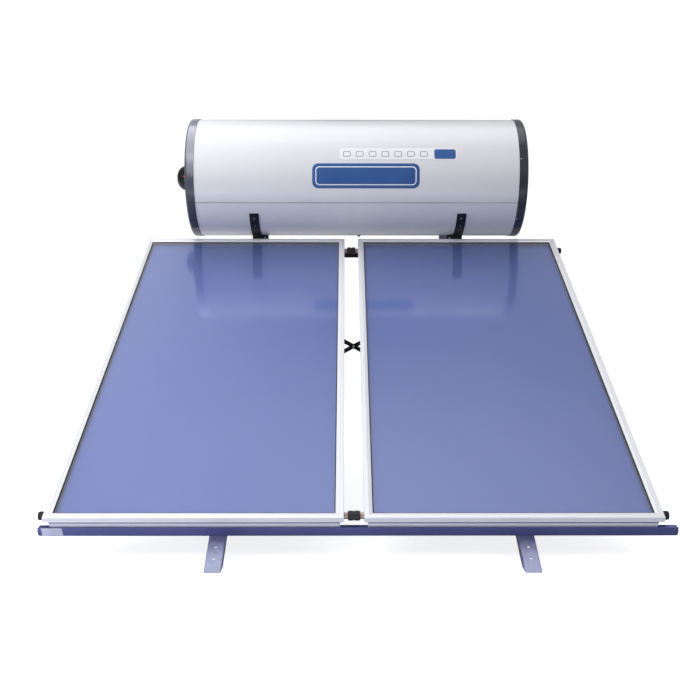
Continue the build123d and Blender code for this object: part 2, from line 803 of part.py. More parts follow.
# ---------------------------------------------------------------- relief valve
bonnet_top = 872.0
lever_pivot = -9.0
with BuildPart() as relief_valve_body:
    with BuildSketch(right_end(834)):
        RegularPolygon(hex_radius(32), 6)
    extrude(amount=13)
    with BuildSketch(right_end(847)):
        Circle(14)
    extrude(amount=19)
    with BuildSketch(Plane(origin=relief_centre + across * 856.5, x_dir=across, z_dir=up * -1)):
        Circle(8)
    extrude(amount=34)
    with BuildSketch(right_end(866)):
        Circle(12.6)
    extrude(amount=bonnet_top - 866)
    with BuildSketch(right_end(bonnet_top)):
        with Locations((7.4, lever_pivot), (-7.4, lever_pivot)):
            Rectangle(2.4, 8)
    extrude(amount=9)
    with BuildSketch(right_end(834)):
        Circle(thread_radius)
    extrude(amount=14, mode=Mode.SUBTRACT)
    with BuildSketch(right_end(848)):
        Circle(5)
    extrude(amount=4, mode=Mode.SUBTRACT)
    with BuildSketch(right_end(852)):
        Circle(8.2)
    extrude(amount=14, mode=Mode.SUBTRACT)
    with BuildSketch(right_end(866)):
        Circle(3.05)
    extrude(amount=bonnet_top - 866, mode=Mode.SUBTRACT)
    with BuildSketch(Plane(origin=relief_centre + across * 856.5, x_dir=across, z_dir=up * -1)):
        Circle(5)
    extrude(amount=34, mode=Mode.SUBTRACT)
    with BuildSketch(Plane(origin=relief_centre + across * 877.5 + up * lever_pivot,
                           x_dir=across, z_dir=back)):
        Circle(1.55)
    extrude(amount=20, both=True, mode=Mode.SUBTRACT)
save(relief_valve_body.part, "relief_valve_body")

with BuildPart() as relief_valve_stem:
    with BuildSketch(right_end(852)):
        Circle(7.4)
    extrude(amount=3)
    with BuildSketch(right_end(855)):
        Circle(3)
    extrude(amount=27.2)
    with BuildSketch(right_end(879.2)):
        Circle(5.2)
    extrude(amount=3)
save(relief_valve_stem.part, "relief_valve_stem")

with BuildPart() as relief_valve_lever:
    with BuildSketch(right_end(876.2)):
        with Locations((0, 10)):
            Rectangle(11, 34)
        with Locations((0, 3)):
            Rectangle(6.8, 14, mode=Mode.SUBTRACT)
    extrude(amount=2.6)
    with BuildSketch(Plane(origin=relief_centre + across * 877.5 + up * lever_pivot,
                           x_dir=across, z_dir=back)):
        Circle(2.6)
    extrude(amount=5.8, both=True)
    with BuildSketch(Plane(origin=relief_centre + across * 877.5 + up * lever_pivot,
                           x_dir=across, z_dir=back)):
        Circle(1.5)
    extrude(amount=8.6, both=True)
save(relief_valve_lever.part, "relief_valve_lever")


# ---------------------------------------------------------------- stand
rail_top = -88.0
rail_width = 35.0
rail_depth = 40.0
sheet = 2.5
rail_half_spacing = rail_spacing / 2
rail_end = 2405.0
rail_start = 8.0
foot_width = 56.0
foot_depth = 30.0
foot_end = 220.0
bottom_rail_s = 5.0
top_rail_s = 1960.0
tube_width = 29.0
tube_height = 24.0
tube_wall = 2.0
bottom_rail_half = 1074.0
front_lip_height = 38.0
front_lip_edge = 0.8
top_rail_half = 1010.0
bolt_hole = 4.5
leg_y = slope_origin_y + 2000
leg_size = 40.0
leg_sheet = 3.0
foot_plate = (110.0, 90.0, 6.0)
foot_plate_hole_offset = 40.0
brace_height = 585.0
brace_rise = 508.0
brace_half_span = 480.0
side_bolt_height = -108.0
foot_side_height = -104.0
cradle_x = {"left": tank_x - 506.0, "right": tank_x + 520.0}
strap_half_width = 23.0
strap_thickness = 4.0
strap_outer = shell_radius + strap_thickness
strap_start = 222.0
strap_sweep = 143.0
strap_slots = (228, 239, 348, 359)
strap_slot = (14.0, 6.5)
cradle_front = 2030.0
cradle_back = 2401.0
cradle_plate_top = -83.0
lug_bolt_offset = 41.0
lug_bolt_height = -8.0

leg_face = rail_half_spacing - rail_width / 2
stand_sides = {"left": -1, "right": 1}


def slope_section(x, s, n):
    return Plane(origin=on_slope(x, s, n), x_dir=across * -1, z_dir=upslope)


def side_plane(x, s, n, sign):
    return Plane(origin=on_slope(x, s, n), x_dir=back, z_dir=across * sign)


def foot_centre(sign):
    return sign * rail_half_spacing + rail_width / 2 + foot_width / 2


leg_bolt_s = [2257.0, 2277.0]
foot_bolt_s = [70.0, 180.0]
cradle_bolt_s = [2080.0, 2350.0]
tie_front_s = 300.0
anchor_hole_s = [-45.0, -97.0]

for side, sign in stand_sides.items():
    rail_x = sign * rail_half_spacing
    with BuildPart() as rail:
        with BuildSketch(slope_section(rail_x, rail_start, rail_top)) as channel:
            with Locations((0, -rail_depth / 2)):
                Rectangle(rail_width, rail_depth)
            fillet(channel.vertices().group_by(Axis.Y)[-1], 3.5)
            with Locations((0, -(rail_depth + sheet) / 2)):
                Rectangle(rail_width - 2 * sheet, rail_depth - sheet, mode=Mode.SUBTRACT)
        extrude(amount=rail_end - rail_start)
        trim_point = on_slope(rail_x, rail_start, rail_top)
        split(bisect_by=Plane(origin=trim_point, z_dir=up), keep=Keep.TOP)
        with BuildSketch(slope.offset(rail_top)):
            with Locations(*[(rail_x, s) for s in
                             (bottom_rail_s + 14.5, top_rail_s + 14.5, *cradle_bolt_s)]):
                Circle(bolt_hole)
        extrude(amount=-sheet, mode=Mode.SUBTRACT)
        inner_face_x = rail_x - sign * rail_width / 2
        for s in (*leg_bolt_s, tie_front_s):
            with BuildSketch(side_plane(inner_face_x, s, side_bolt_height, sign)):
                Circle(bolt_hole)
            extrude(amount=sheet, mode=Mode.SUBTRACT)
        for s in foot_bolt_s:
            with BuildSketch(side_plane(rail_x + rail_width / 2, s, foot_side_height, -1)):
                Circle(bolt_hole)
            extrude(amount=sheet, mode=Mode.SUBTRACT)
    save(rail.part, f"sloped_rail_{side}")

    # front foot: wider channel bolted to the right-hand flange of the rail
    with BuildPart() as foot:
        with BuildSketch(slope_section(foot_centre(sign), -260, rail_top)) as channel:
            with Locations((0, -foot_depth / 2)):
                Rectangle(foot_width, foot_depth)
            fillet(channel.vertices().group_by(Axis.Y)[-1], 3.5)
            with Locations((0, -(foot_depth + sheet) / 2)):
                Rectangle(foot_width - 2 * sheet, foot_depth - sheet, mode=Mode.SUBTRACT)
        extrude(amount=260 + foot_end)
        split(bisect_by=Plane.XY, keep=Keep.TOP)
        with BuildSketch(slope.offset(rail_top)):
            with Locations(*[(foot_centre(sign), s) for s in
                             (bottom_rail_s + 14.5, *anchor_hole_s)]):
                Circle(bolt_hole)
        extrude(amount=-sheet, mode=Mode.SUBTRACT)
        for s in foot_bolt_s:
            with BuildSketch(side_plane(rail_x + rail_width / 2, s, foot_side_height, 1)):
                Circle(bolt_hole)
            extrude(amount=sheet, mode=Mode.SUBTRACT)
    save(foot.part, f"front_foot_{side}")

    # rear leg: angle section welded to its foot plate
    leg_x = sign * leg_face
    with BuildPart() as leg:
        with BuildSketch(Plane.XY.offset(foot_plate[2])):
            with Locations((leg_x - sign * leg_sheet / 2, leg_y + leg_size / 2)):
                Rectangle(leg_sheet, leg_size)
            with Locations((leg_x - sign * leg_size / 2, leg_y + leg_size - leg_sheet / 2)):
                Rectangle(leg_size, leg_sheet)
        extrude(amount=1400)
        split(bisect_by=slope.offset(rail_top - 2), keep=Keep.BOTTOM)
        with BuildSketch(Plane.XY):
            with Locations((leg_x - sign * leg_size / 2, leg_y + leg_size / 2)):
                RectangleRounded(foot_plate[0], foot_plate[1], 8)
                with Locations((foot_plate_hole_offset, 0), (-foot_plate_hole_offset, 0)):
                    Circle(6, mode=Mode.SUBTRACT)
        extrude(amount=foot_plate[2])
        for s in leg_bolt_s:
            with BuildSketch(side_plane(leg_x, s, side_bolt_height, -sign)):
                Circle(bolt_hole)
            extrude(amount=leg_sheet, mode=Mode.SUBTRACT)
        with BuildSketch(Plane(origin=(leg_x, leg_y + leg_size / 2, 80), x_dir=back,
                               z_dir=across * -sign)):
            Circle(bolt_hole)
        extrude(amount=leg_sheet, mode=Mode.SUBTRACT)
        with BuildSketch(Plane(origin=(0, leg_y + leg_size, 0), x_dir=across, z_dir=-back)):
            with Locations((sign * brace_half_span, brace_height + brace_rise / 2),
                           (sign * brace_half_span, brace_height - brace_rise / 2)):
                Circle(bolt_hole)
        extrude(amount=leg_sheet, mode=Mode.SUBTRACT)
    save(leg.part, f"rear_leg_{side}")

    # flat tie between rail and leg
    tie_x = sign * (leg_face - leg_sheet)
    front_point = on_slope(tie_x, tie_front_s, side_bolt_height)
    back_point = Vector(tie_x, leg_y + leg_size / 2, 80)
    tie_plane = Plane(origin=(front_point + back_point) / 2,
                      x_dir=(back_point - front_point).normalized(), z_dir=across * -sign)
    tie_length = (back_point - front_point).length
    with BuildPart() as tie:
        with BuildSketch(tie_plane):
            SlotCenterToCenter(tie_length, 30)
            with Locations((-tie_length / 2, 0), (tie_length / 2, 0)):
                Circle(bolt_hole, mode=Mode.SUBTRACT)
        extrude(amount=4)
    save(tie.part, f"tie_bar_{side}")

# cross rails of rectangular tube; the bottom one has a lip in front of the collectors
cross_rails = {"bottom_rail": (bottom_rail_s, bottom_rail_half),
               "top_rail": (top_rail_s, top_rail_half)}
collector_bolt_x = [centre + offset for centre in collectors.values()
                    for offset in (-collector_bolt_offset, collector_bolt_offset)]
rail_bolt_x = {"bottom_rail": [-rail_half_spacing, rail_half_spacing, foot_centre(-1),
                               foot_centre(1)],
               "top_rail": [-rail_half_spacing, rail_half_spacing]}
collector_bolt_row = {"bottom_rail": collector_bolt_inset,
                      "top_rail": collector_length - collector_bolt_inset}
for name, (rail_s, half_length) in cross_rails.items():
    middle_section = Plane(origin=on_slope(0, rail_s + tube_width / 2, rail_top + tube_height / 2),
                           x_dir=upslope, z_dir=across)
    with BuildPart() as cross_rail:
        with BuildSketch(middle_section):
            RectangleRounded(tube_width, tube_height, 2.5)
            RectangleRounded(tube_width - 2 * tube_wall, tube_height - 2 * tube_wall, 1,
                             mode=Mode.SUBTRACT)
            if name == "bottom_rail":
                with Locations(((tube_wall - tube_width) / 2,
                                (front_lip_height - tube_height) / 2)):
                    RectangleRounded(tube_wall, front_lip_height, front_lip_edge)
        extrude(amount=half_length, both=True)
        with BuildSketch(slope.offset(rail_top)):
            with Locations(*[(x, rail_s + tube_width / 2) for x in rail_bolt_x[name]]):
                Circle(bolt_hole)
        extrude(amount=tube_wall, mode=Mode.SUBTRACT)
        with BuildSketch(slope.offset(rail_top)):
            with Locations(*[(x, collector_bolt_row[name]) for x in collector_bolt_x]):
                Circle(3.3)
        extrude(amount=tube_height, mode=Mode.SUBTRACT)
    save(cross_rail.part, name)

with BuildPart() as plugs:
    for rail_s, half_length in cross_rails.values():
        for sign in (-1, 1):
            mouth = Plane(origin=on_slope(sign * half_length, rail_s + tube_width / 2,
                                          rail_top + tube_height / 2),
                          x_dir=upslope, z_dir=across * sign)
            with BuildSketch(mouth):
                RectangleRounded(tube_width, tube_height, 4)
            extrude(amount=3, taper=20)
            with BuildSketch(mouth):
                RectangleRounded(tube_width - 2 * tube_wall, tube_height - 2 * tube_wall, 1)
                RectangleRounded(tube_width - 2 * tube_wall - 4, tube_height - 2 * tube_wall - 4,
                                 1, mode=Mode.SUBTRACT)
            extrude(amount=-14)
save(plugs.part, "rail_end_plugs")

# crossed flat bars between the rear legs
brace_length = sqrt((2 * brace_half_span) ** 2 + brace_rise ** 2)
brace_layers = [(leg_y + leg_size - leg_sheet, 1, -1), (leg_y + leg_size, -1, 1)]
with BuildPart() as braces:
    for layer_y, lean, facing in brace_layers:
        bar_plane = Plane(origin=(0, layer_y, brace_height),
                          x_dir=(2 * brace_half_span, 0, lean * brace_rise),
                          z_dir=back * facing)
        with BuildSketch(bar_plane):
            SlotCenterToCenter(brace_length, 22)
            with Locations((-brace_length / 2, 0), (0, 0), (brace_length / 2, 0)):
                Circle(bolt_hole, mode=Mode.SUBTRACT)
        extrude(amount=3)
save(braces.part, "brace_bars")

# ---------------------------------------------------------------- tank cradles
for side, sign in stand_sides.items():
    strap_x = cradle_x[side]
    strap_plane = Plane(origin=tank_centre + across * (strap_x - tank_x), x_dir=back, z_dir=across)
    ends = [(cradle_front, -1), (cradle_back, 1)]
    inner = -sign

    with BuildPart() as cradle:
        for s, facing in ends:
            lug_plane = Plane(origin=on_slope(strap_x, s, 0), x_dir=across,
                              z_dir=upslope * facing)
            height_sign = -facing
            with BuildSketch(lug_plane):
                with Locations((inner * 17.5, height_sign * -8)):
                    Rectangle(81, 44)
                with Locations((inner * lug_bolt_offset, height_sign * lug_bolt_height)):
                    Circle(bolt_hole, mode=Mode.SUBTRACT)
            extrude(amount=5)
        add(tank_cylinder(strap_outer, shell_half_length), mode=Mode.SUBTRACT)
        with BuildSketch(strap_plane):
            with BuildLine():
                outer_arc = CenterArc((0, 0), strap_outer, strap_start, strap_sweep)
                inner_arc = CenterArc((0, 0), shell_radius, strap_start, strap_sweep)
                Line(outer_arc @ 0, inner_arc @ 0)
                Line(outer_arc @ 1, inner_arc @ 1)
            make_face()
        extrude(amount=strap_half_width, both=True)
        for angle in strap_slots:
            with BuildSketch(Plane(origin=tank_centre + across * (strap_x - tank_x)
                                   + tank_radial(angle) * (strap_outer + 5),
                                   x_dir=across, z_dir=tank_radial(angle))):
                SlotOverall(*strap_slot, rotation=90)
            extrude(amount=-12, mode=Mode.SUBTRACT)
    save(cradle.part, f"cradle_{side}")

    with BuildPart() as bracket:
        with BuildSketch(slope.offset(cradle_plate_top)):
            with Locations((strap_x - 5, (cradle_front + cradle_back) / 2)):
                Rectangle(56, cradle_back - cradle_front)
        extrude(amount=-5)
        for s, facing in ends:
            leg_plane = Plane(origin=on_slope(strap_x, s, 0), x_dir=across,
                              z_dir=upslope * -facing)
            height_sign = facing
            with BuildSketch(leg_plane):
                with Locations((0, height_sign * -34.5)):
                    Rectangle(2 * strap_half_width, 97)
                with Locations((inner * 40.5, height_sign * -8)):
                    Rectangle(35, 44)
                with Locations((inner * lug_bolt_offset, height_sign * lug_bolt_height)):
                    Circle(bolt_hole, mode=Mode.SUBTRACT)
            extrude(amount=5)
            with BuildSketch(Plane(origin=on_slope(strap_x + 16, 0, 0), x_dir=upslope,
                                   z_dir=across)):
                with BuildLine():
                    Polyline((s - facing * 5, cradle_plate_top),
                             (s - facing * 60, cradle_plate_top),
                             (s - facing * 5, cradle_plate_top + 45), close=True)
                make_face()
            extrude(amount=4)
        add(tank_cylinder(strap_outer, shell_half_length), mode=Mode.SUBTRACT)
        with BuildSketch(slope.offset(cradle_plate_top)):
            with Locations(*[(sign * rail_half_spacing, s) for s in cradle_bolt_s]):
                Circle(bolt_hole)
        extrude(amount=-5, mode=Mode.SUBTRACT)
    save(bracket.part, f"cradle_bracket_{side}")

# ---------------------------------------------------------------- fasteners
# each entry: head seat, direction the head faces, clamped thickness
bolt_list = []
for x in rail_bolt_x["bottom_rail"]:
    bolt_list.append((on_slope(x, bottom_rail_s + tube_width / 2, rail_top - sheet),
                      outward * -1, sheet + tube_wall))
for x in rail_bolt_x["top_rail"]:
    bolt_list.append((on_slope(x, top_rail_s + tube_width / 2, rail_top - sheet),
                      outward * -1, sheet + tube_wall))
for side, sign in stand_sides.items():
    rail_x = sign * rail_half_spacing
    leg_x = sign * leg_face
    for s in foot_bolt_s:
        bolt_list.append((on_slope(rail_x + rail_width / 2 + sheet, s, foot_side_height),
                          across, 2 * sheet))
    for s in leg_bolt_s:
        bolt_list.append((on_slope(leg_x - sign * leg_sheet, s, side_bolt_height),
                          across * -sign, sheet + leg_sheet))
    for s in cradle_bolt_s:
        bolt_list.append((on_slope(rail_x, s, cradle_plate_top), outward, 5 + sheet))
    for s, facing in ((cradle_front, -1), (cradle_back, 1)):
        bolt_list.append((on_slope(cradle_x[side] - sign * lug_bolt_offset,
                                   s + facing * 5, lug_bolt_height), upslope * facing, 10))
    tie_face = sign * (leg_face - leg_sheet - 4)
    bolt_list.append((on_slope(tie_face, tie_front_s, side_bolt_height), across * -sign,
                      4 + leg_sheet + sheet))
    bolt_list.append((Vector(tie_face, leg_y + leg_size / 2, 80), across * -sign,
                      4 + leg_sheet))
    for layer_y, lean, facing in brace_layers:
        bolt_list.append((Vector(sign * brace_half_span, layer_y + facing * 3,
                                 brace_height + sign * lean * brace_rise / 2),
                          back * facing, 3 + leg_sheet))
bolt_list.append((Vector(0, leg_y + leg_size - leg_sheet - 3, brace_height), back * -1,
                  6 + leg_sheet))

with BuildPart() as frame_bolts:
    for seat, direction, grip in bolt_list:
        head = Plane(origin=seat, z_dir=direction)
        with BuildSketch(head):
            RegularPolygon(hex_radius(13), 6)
        extrude(amount=5.3)
        with BuildSketch(head):
            Circle(4)
        extrude(amount=-20)
        with BuildSketch(head.offset(-grip)):
            RegularPolygon(hex_radius(13), 6)
            Circle(4.05, mode=Mode.SUBTRACT)
        extrude(amount=-6.5)
save(frame_bolts.part, "frame_bolts")

with BuildPart() as spacers:
    for sign in stand_sides.values():
        with BuildSketch(side_plane(sign * leg_face, tie_front_s, side_bolt_height, -sign)):
            Circle(9)
            Circle(bolt_hole, mode=Mode.SUBTRACT)
        extrude(amount=leg_sheet)
    with BuildSketch(Plane(origin=(0, leg_y + leg_size, brace_height), z_dir=-back)):
        Circle(9)
        Circle(bolt_hole, mode=Mode.SUBTRACT)
    extrude(amount=leg_sheet)
save(spacers.part, "frame_spacers")

with BuildPart() as collector_bolts:
    for row_s in collector_bolt_row.values():
        for x in collector_bolt_x:
            head = Plane(origin=on_slope(x, row_s, rail_top), x_dir=across, z_dir=outward * -1)
            with BuildSketch(head):
                RegularPolygon(hex_radius(10), 6)
            extrude(amount=4)
            with BuildSketch(head):
                Circle(3)
            extrude(amount=-32)
            with BuildSketch(head.offset(-(tube_height + case_wall))):
                RegularPolygon(hex_radius(10), 6)
                Circle(3.05, mode=Mode.SUBTRACT)
            extrude(amount=-5)
save(collector_bolts.part, "collector_bolts")
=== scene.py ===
import json
import math

import bmesh
import bpy
from mathutils import Matrix, Vector


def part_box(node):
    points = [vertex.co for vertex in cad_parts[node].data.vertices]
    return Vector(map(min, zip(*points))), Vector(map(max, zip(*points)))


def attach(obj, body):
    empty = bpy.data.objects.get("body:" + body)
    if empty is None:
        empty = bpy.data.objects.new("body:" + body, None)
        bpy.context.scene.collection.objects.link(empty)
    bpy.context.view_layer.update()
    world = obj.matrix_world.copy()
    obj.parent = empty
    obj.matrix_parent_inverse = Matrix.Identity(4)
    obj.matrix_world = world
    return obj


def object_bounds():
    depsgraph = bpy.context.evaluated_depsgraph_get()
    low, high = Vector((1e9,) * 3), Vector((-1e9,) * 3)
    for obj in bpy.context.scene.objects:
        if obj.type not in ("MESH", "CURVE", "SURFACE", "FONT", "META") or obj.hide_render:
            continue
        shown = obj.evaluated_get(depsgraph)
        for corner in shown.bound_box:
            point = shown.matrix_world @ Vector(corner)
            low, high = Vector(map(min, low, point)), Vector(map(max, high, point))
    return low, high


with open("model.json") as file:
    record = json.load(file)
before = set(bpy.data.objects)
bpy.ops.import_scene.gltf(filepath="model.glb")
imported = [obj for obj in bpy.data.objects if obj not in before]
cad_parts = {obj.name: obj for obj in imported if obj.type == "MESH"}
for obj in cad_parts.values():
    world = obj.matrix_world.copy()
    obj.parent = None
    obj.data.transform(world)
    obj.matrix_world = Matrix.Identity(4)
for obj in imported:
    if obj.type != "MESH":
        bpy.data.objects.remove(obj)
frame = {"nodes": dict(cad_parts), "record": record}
cad_low, cad_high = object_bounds()
NODES = frame["nodes"]

SLOPE = math.radians(30.0)
SLOPE_ORIGIN = Vector((0.0, -1.026, 0.156))
TANK_CENTRE = Vector((0.010, 0.77448, 1.46848))
SHELL_RADIUS = 0.2925
SEAM_HEIGHT = TANK_CENTRE.z - SHELL_RADIUS * 0.5
CAMERA_PLACE = (-0.043, -4.038, 0.934)
CAMERA_DOWN = math.radians(4.185)
CAMERA_RIGHT = math.radians(0.268)
CAMERA_ROLL = math.radians(0.024)
LENS_MM = 47.55
COLD_LIGHT = (0.90, 0.92, 1.0)
COLD_FLOOR_LIGHT = (0.90, 0.93, 1.0)
STRIP_CENTRE_X = 0.215
STRIP_ANGLE = 17.0
WORLD_TINT = (1.0, 1.0, 1.03)
BELOW_TOP = ((0.0, 1.0), (0.88, 1.0), (0.955, 0.0))
WORLD_PANELS = {
    "top": (1.40, ((0.88, 0.0), (0.955, 1.0)), ((-1.0, 1.0),)),
    "left": (0.25, BELOW_TOP, ((-0.50, 1.0), (-0.25, 0.0))),
    "left_near": (1.05, BELOW_TOP, ((-0.50, 0.0), (-0.25, 1.0), (0.0, 0.0))),
    "middle": (0.06, BELOW_TOP, ((-0.25, 0.0), (0.0, 1.0), (0.25, 0.0))),
    "right": (0.45, BELOW_TOP, ((0.0, 0.0), (0.25, 1.0))),
}


class Shader:
    """A node material being built, with short calls for the nodes it uses."""

    def __init__(self, name):
        self.material = bpy.data.materials.new(name)
        self.material.use_nodes = True
        self.tree = self.material.node_tree
        self.tree.nodes.clear()
        self.output = self.add("ShaderNodeOutputMaterial")
        self.coordinates = self.add("ShaderNodeTexCoord").outputs["Object"]
        self.surface = None

    def add(self, kind, **settings):
        node = self.tree.nodes.new(kind)
        for key, value in settings.items():
            setattr(node, key, value)
        return node

    def join(self, source, target):
        self.tree.links.new(source, target)

    def put(self, target, value):
        if isinstance(value, bpy.types.NodeSocket):
            self.join(value, target)
        elif isinstance(value, (tuple, list)) and len(value) == 3 and len(target.default_value) == 4:
            target.default_value = (*value, 1.0)
        else:
            target.default_value = value

    def principled(self, color, roughness, metallic=0.0, **more):
        node = self.add("ShaderNodeBsdfPrincipled")
        self.put(node.inputs["Base Color"], color)
        self.put(node.inputs["Roughness"], roughness)
        self.put(node.inputs["Metallic"], metallic)
        for key, value in more.items():
            self.put(node.inputs[key.replace("_", " ")], value)
        self.surface = node
        self.join(node.outputs["BSDF"], self.output.inputs["Surface"])
        return node

    def mapped(self, scale=(1, 1, 1), turn=(0, 0, 0), source=None):
        node = self.add("ShaderNodeMapping")
        self.join(source or self.coordinates, node.inputs["Vector"])
        node.inputs["Rotation"].default_value = turn
        node.inputs["Scale"].default_value = scale
        return node.outputs["Vector"]

    def noise(self, scale, detail=3.0, rough=0.5, vector=None, distortion=0.0):
        node = self.add("ShaderNodeTexNoise")
        self.join(vector or self.coordinates, node.inputs["Vector"])
        node.inputs["Scale"].default_value = scale
        node.inputs["Detail"].default_value = detail
        node.inputs["Roughness"].default_value = rough
        node.inputs["Distortion"].default_value = distortion
        return node.outputs["Fac"]

    def cells(self, scale, vector=None, output="Distance", feature="F1", randomness=1.0):
        node = self.add("ShaderNodeTexVoronoi", feature=feature)
        self.join(vector or self.coordinates, node.inputs["Vector"])
        node.inputs["Scale"].default_value = scale
        node.inputs["Randomness"].default_value = randomness
        return node.outputs[output]

    def ramp(self, fac, *stops):
        node = self.add("ShaderNodeValToRGB")
        self.join(fac, node.inputs["Fac"])
        elements = node.color_ramp.elements
        while len(elements) < len(stops):
            elements.new(0.5)
        for element, (place, color) in zip(elements, stops):
            element.position = place
            element.color = (*color, 1.0) if isinstance(color, tuple) else (color, color, color, 1.0)
        return node.outputs["Color"]

    def span(self, fac, low, high, from_low=0.0, from_high=1.0):
        node = self.add("ShaderNodeMapRange")
        self.join(fac, node.inputs["Value"])
        node.inputs["From Min"].default_value = from_low
        node.inputs["From Max"].default_value = from_high
        node.inputs["To Min"].default_value = low
        node.inputs["To Max"].default_value = high
        return node.outputs["Result"]

    def math(self, operation, a, b=0.0):
        node = self.add("ShaderNodeMath", operation=operation)
        self.put(node.inputs[0], a)
        self.put(node.inputs[1], b)
        return node.outputs[0]

    def mix(self, fac, a, b, blend="MIX"):
        node = self.add("ShaderNodeMix", data_type="RGBA", blend_type=blend)
        self.put(node.inputs["Factor"], fac)
        self.put(node.inputs["A"], a)
        self.put(node.inputs["B"], b)
        return node.outputs["Result"]

    def bump(self, height, distance, strength=1.0, normal=None):
        node = self.add("ShaderNodeBump")
        node.inputs["Distance"].default_value = distance
        node.inputs["Strength"].default_value = strength
        self.join(height, node.inputs["Height"])
        if normal is not None:
            self.join(normal, node.inputs["Normal"])
        return node.outputs["Normal"]

    def soft_edge(self, radius):
        node = self.add("ShaderNodeBevel", samples=4)
        node.inputs["Radius"].default_value = radius
        return node.outputs["Normal"]

    def edge_mask(self, radius, start=0.02, end=0.25):
        """White where a rounded edge of this radius would turn away from the flat face."""
        geometry = self.add("ShaderNodeNewGeometry")
        node = self.add("ShaderNodeVectorMath", operation="DOT_PRODUCT")
        self.join(self.soft_edge(radius), node.inputs[0])
        self.join(geometry.outputs["Normal"], node.inputs[1])
        turned = self.math("SUBTRACT", 1.0, node.outputs["Value"])
        return self.span(turned, 0.0, 1.0, start, end)

    def split(self, vector):
        node = self.add("ShaderNodeSeparateXYZ")
        self.join(vector, node.inputs["Vector"])
        return node.outputs["X"], node.outputs["Y"], node.outputs["Z"]


def extruded_aluminium(name, color, roughness, metallic, centre_x, half_width, low, high):
    """Anodised section bars with draw lines that run along each bar and turn at the mitres."""
    sh = Shader(name)
    sloped = sh.mapped(turn=(-SLOPE, 0, 0))
    x, s, _ = sh.split(sloped)
    to_side = sh.math("SUBTRACT", half_width, sh.math("ABSOLUTE", sh.math("SUBTRACT", x, centre_x)))
    to_end = sh.math("MINIMUM", sh.math("SUBTRACT", s, low), sh.math("SUBTRACT", high, s))
    is_end_bar = sh.math("GREATER_THAN", to_side, to_end)
    along_slope = sh.noise(1.0, 2.0, 0.6, sh.mapped((1600, 3, 1600), source=sloped))
    along_x = sh.noise(1.0, 2.0, 0.6, sh.mapped((3, 1600, 1600), source=sloped))
    lines = sh.mix(is_end_bar, along_slope, along_x)
    cloud = sh.noise(5.0, 3.0)
    tone = sh.mix(sh.span(lines, 0.0, 1.0, 0.3, 0.7), tuple(0.94 * c for c in color), color)
    tone = sh.mix(sh.span(cloud, 0.0, 0.25, 0.4, 0.7), tone, tuple(0.9 * c for c in color))
    rough = sh.span(lines, roughness - 0.05, roughness + 0.10)
    normal = sh.bump(lines, 0.00002, 0.35, sh.soft_edge(0.0007))
    sh.principled(tone, rough, metallic, Normal=normal)
    return sh.material


def mill_aluminium():
    sh = Shader("mill_aluminium")
    rolled = sh.noise(1.0, 3.0, 0.6, sh.mapped((900, 6, 6), (-SLOPE, 0, 0)))
    stains = sh.noise(7.0, 4.0)
    tone = sh.mix(sh.span(stains, 0.0, 0.5, 0.35, 0.75), (0.72, 0.73, 0.75), (0.58, 0.60, 0.63))
    sh.principled(tone, sh.span(rolled, 0.38, 0.55), 0.9, Normal=sh.bump(rolled, 0.00003, 0.4))
    return sh.material


def solar_absorber():
    """Blue selective coating on rolled sheet: a tinted mirror-like metal with faint lengthwise streaks."""
    sh = Shader("blue_absorber")
    streaks = sh.noise(1.0, 3.0, 0.55, sh.mapped((70, 0.6, 0.6), (-SLOPE, 0, 0)))
    fine = sh.noise(1.0, 2.0, 0.6, sh.mapped((1400, 5, 5), (-SLOPE, 0, 0)))
    cloud = sh.noise(1.6, 2.0)
    facing = sh.add("ShaderNodeLayerWeight")
    facing.inputs["Blend"].default_value = 0.35
    tone = sh.mix(facing.outputs["Facing"], (0.075, 0.125, 0.430), (0.180, 0.250, 0.660))
    tone = sh.mix(sh.span(streaks, 0.0, 0.28, 0.35, 0.65), tone, (0.125, 0.185, 0.550))
    tone = sh.mix(sh.span(cloud, 0.0, 0.18, 0.35, 0.7), tone, (0.160, 0.210, 0.560))
    normal = sh.bump(streaks, 0.0006, 0.10, sh.bump(fine, 0.00003, 0.25))
    sh.principled(tone, sh.span(fine, 0.34, 0.44), 0.45, Normal=normal)
    return sh.material


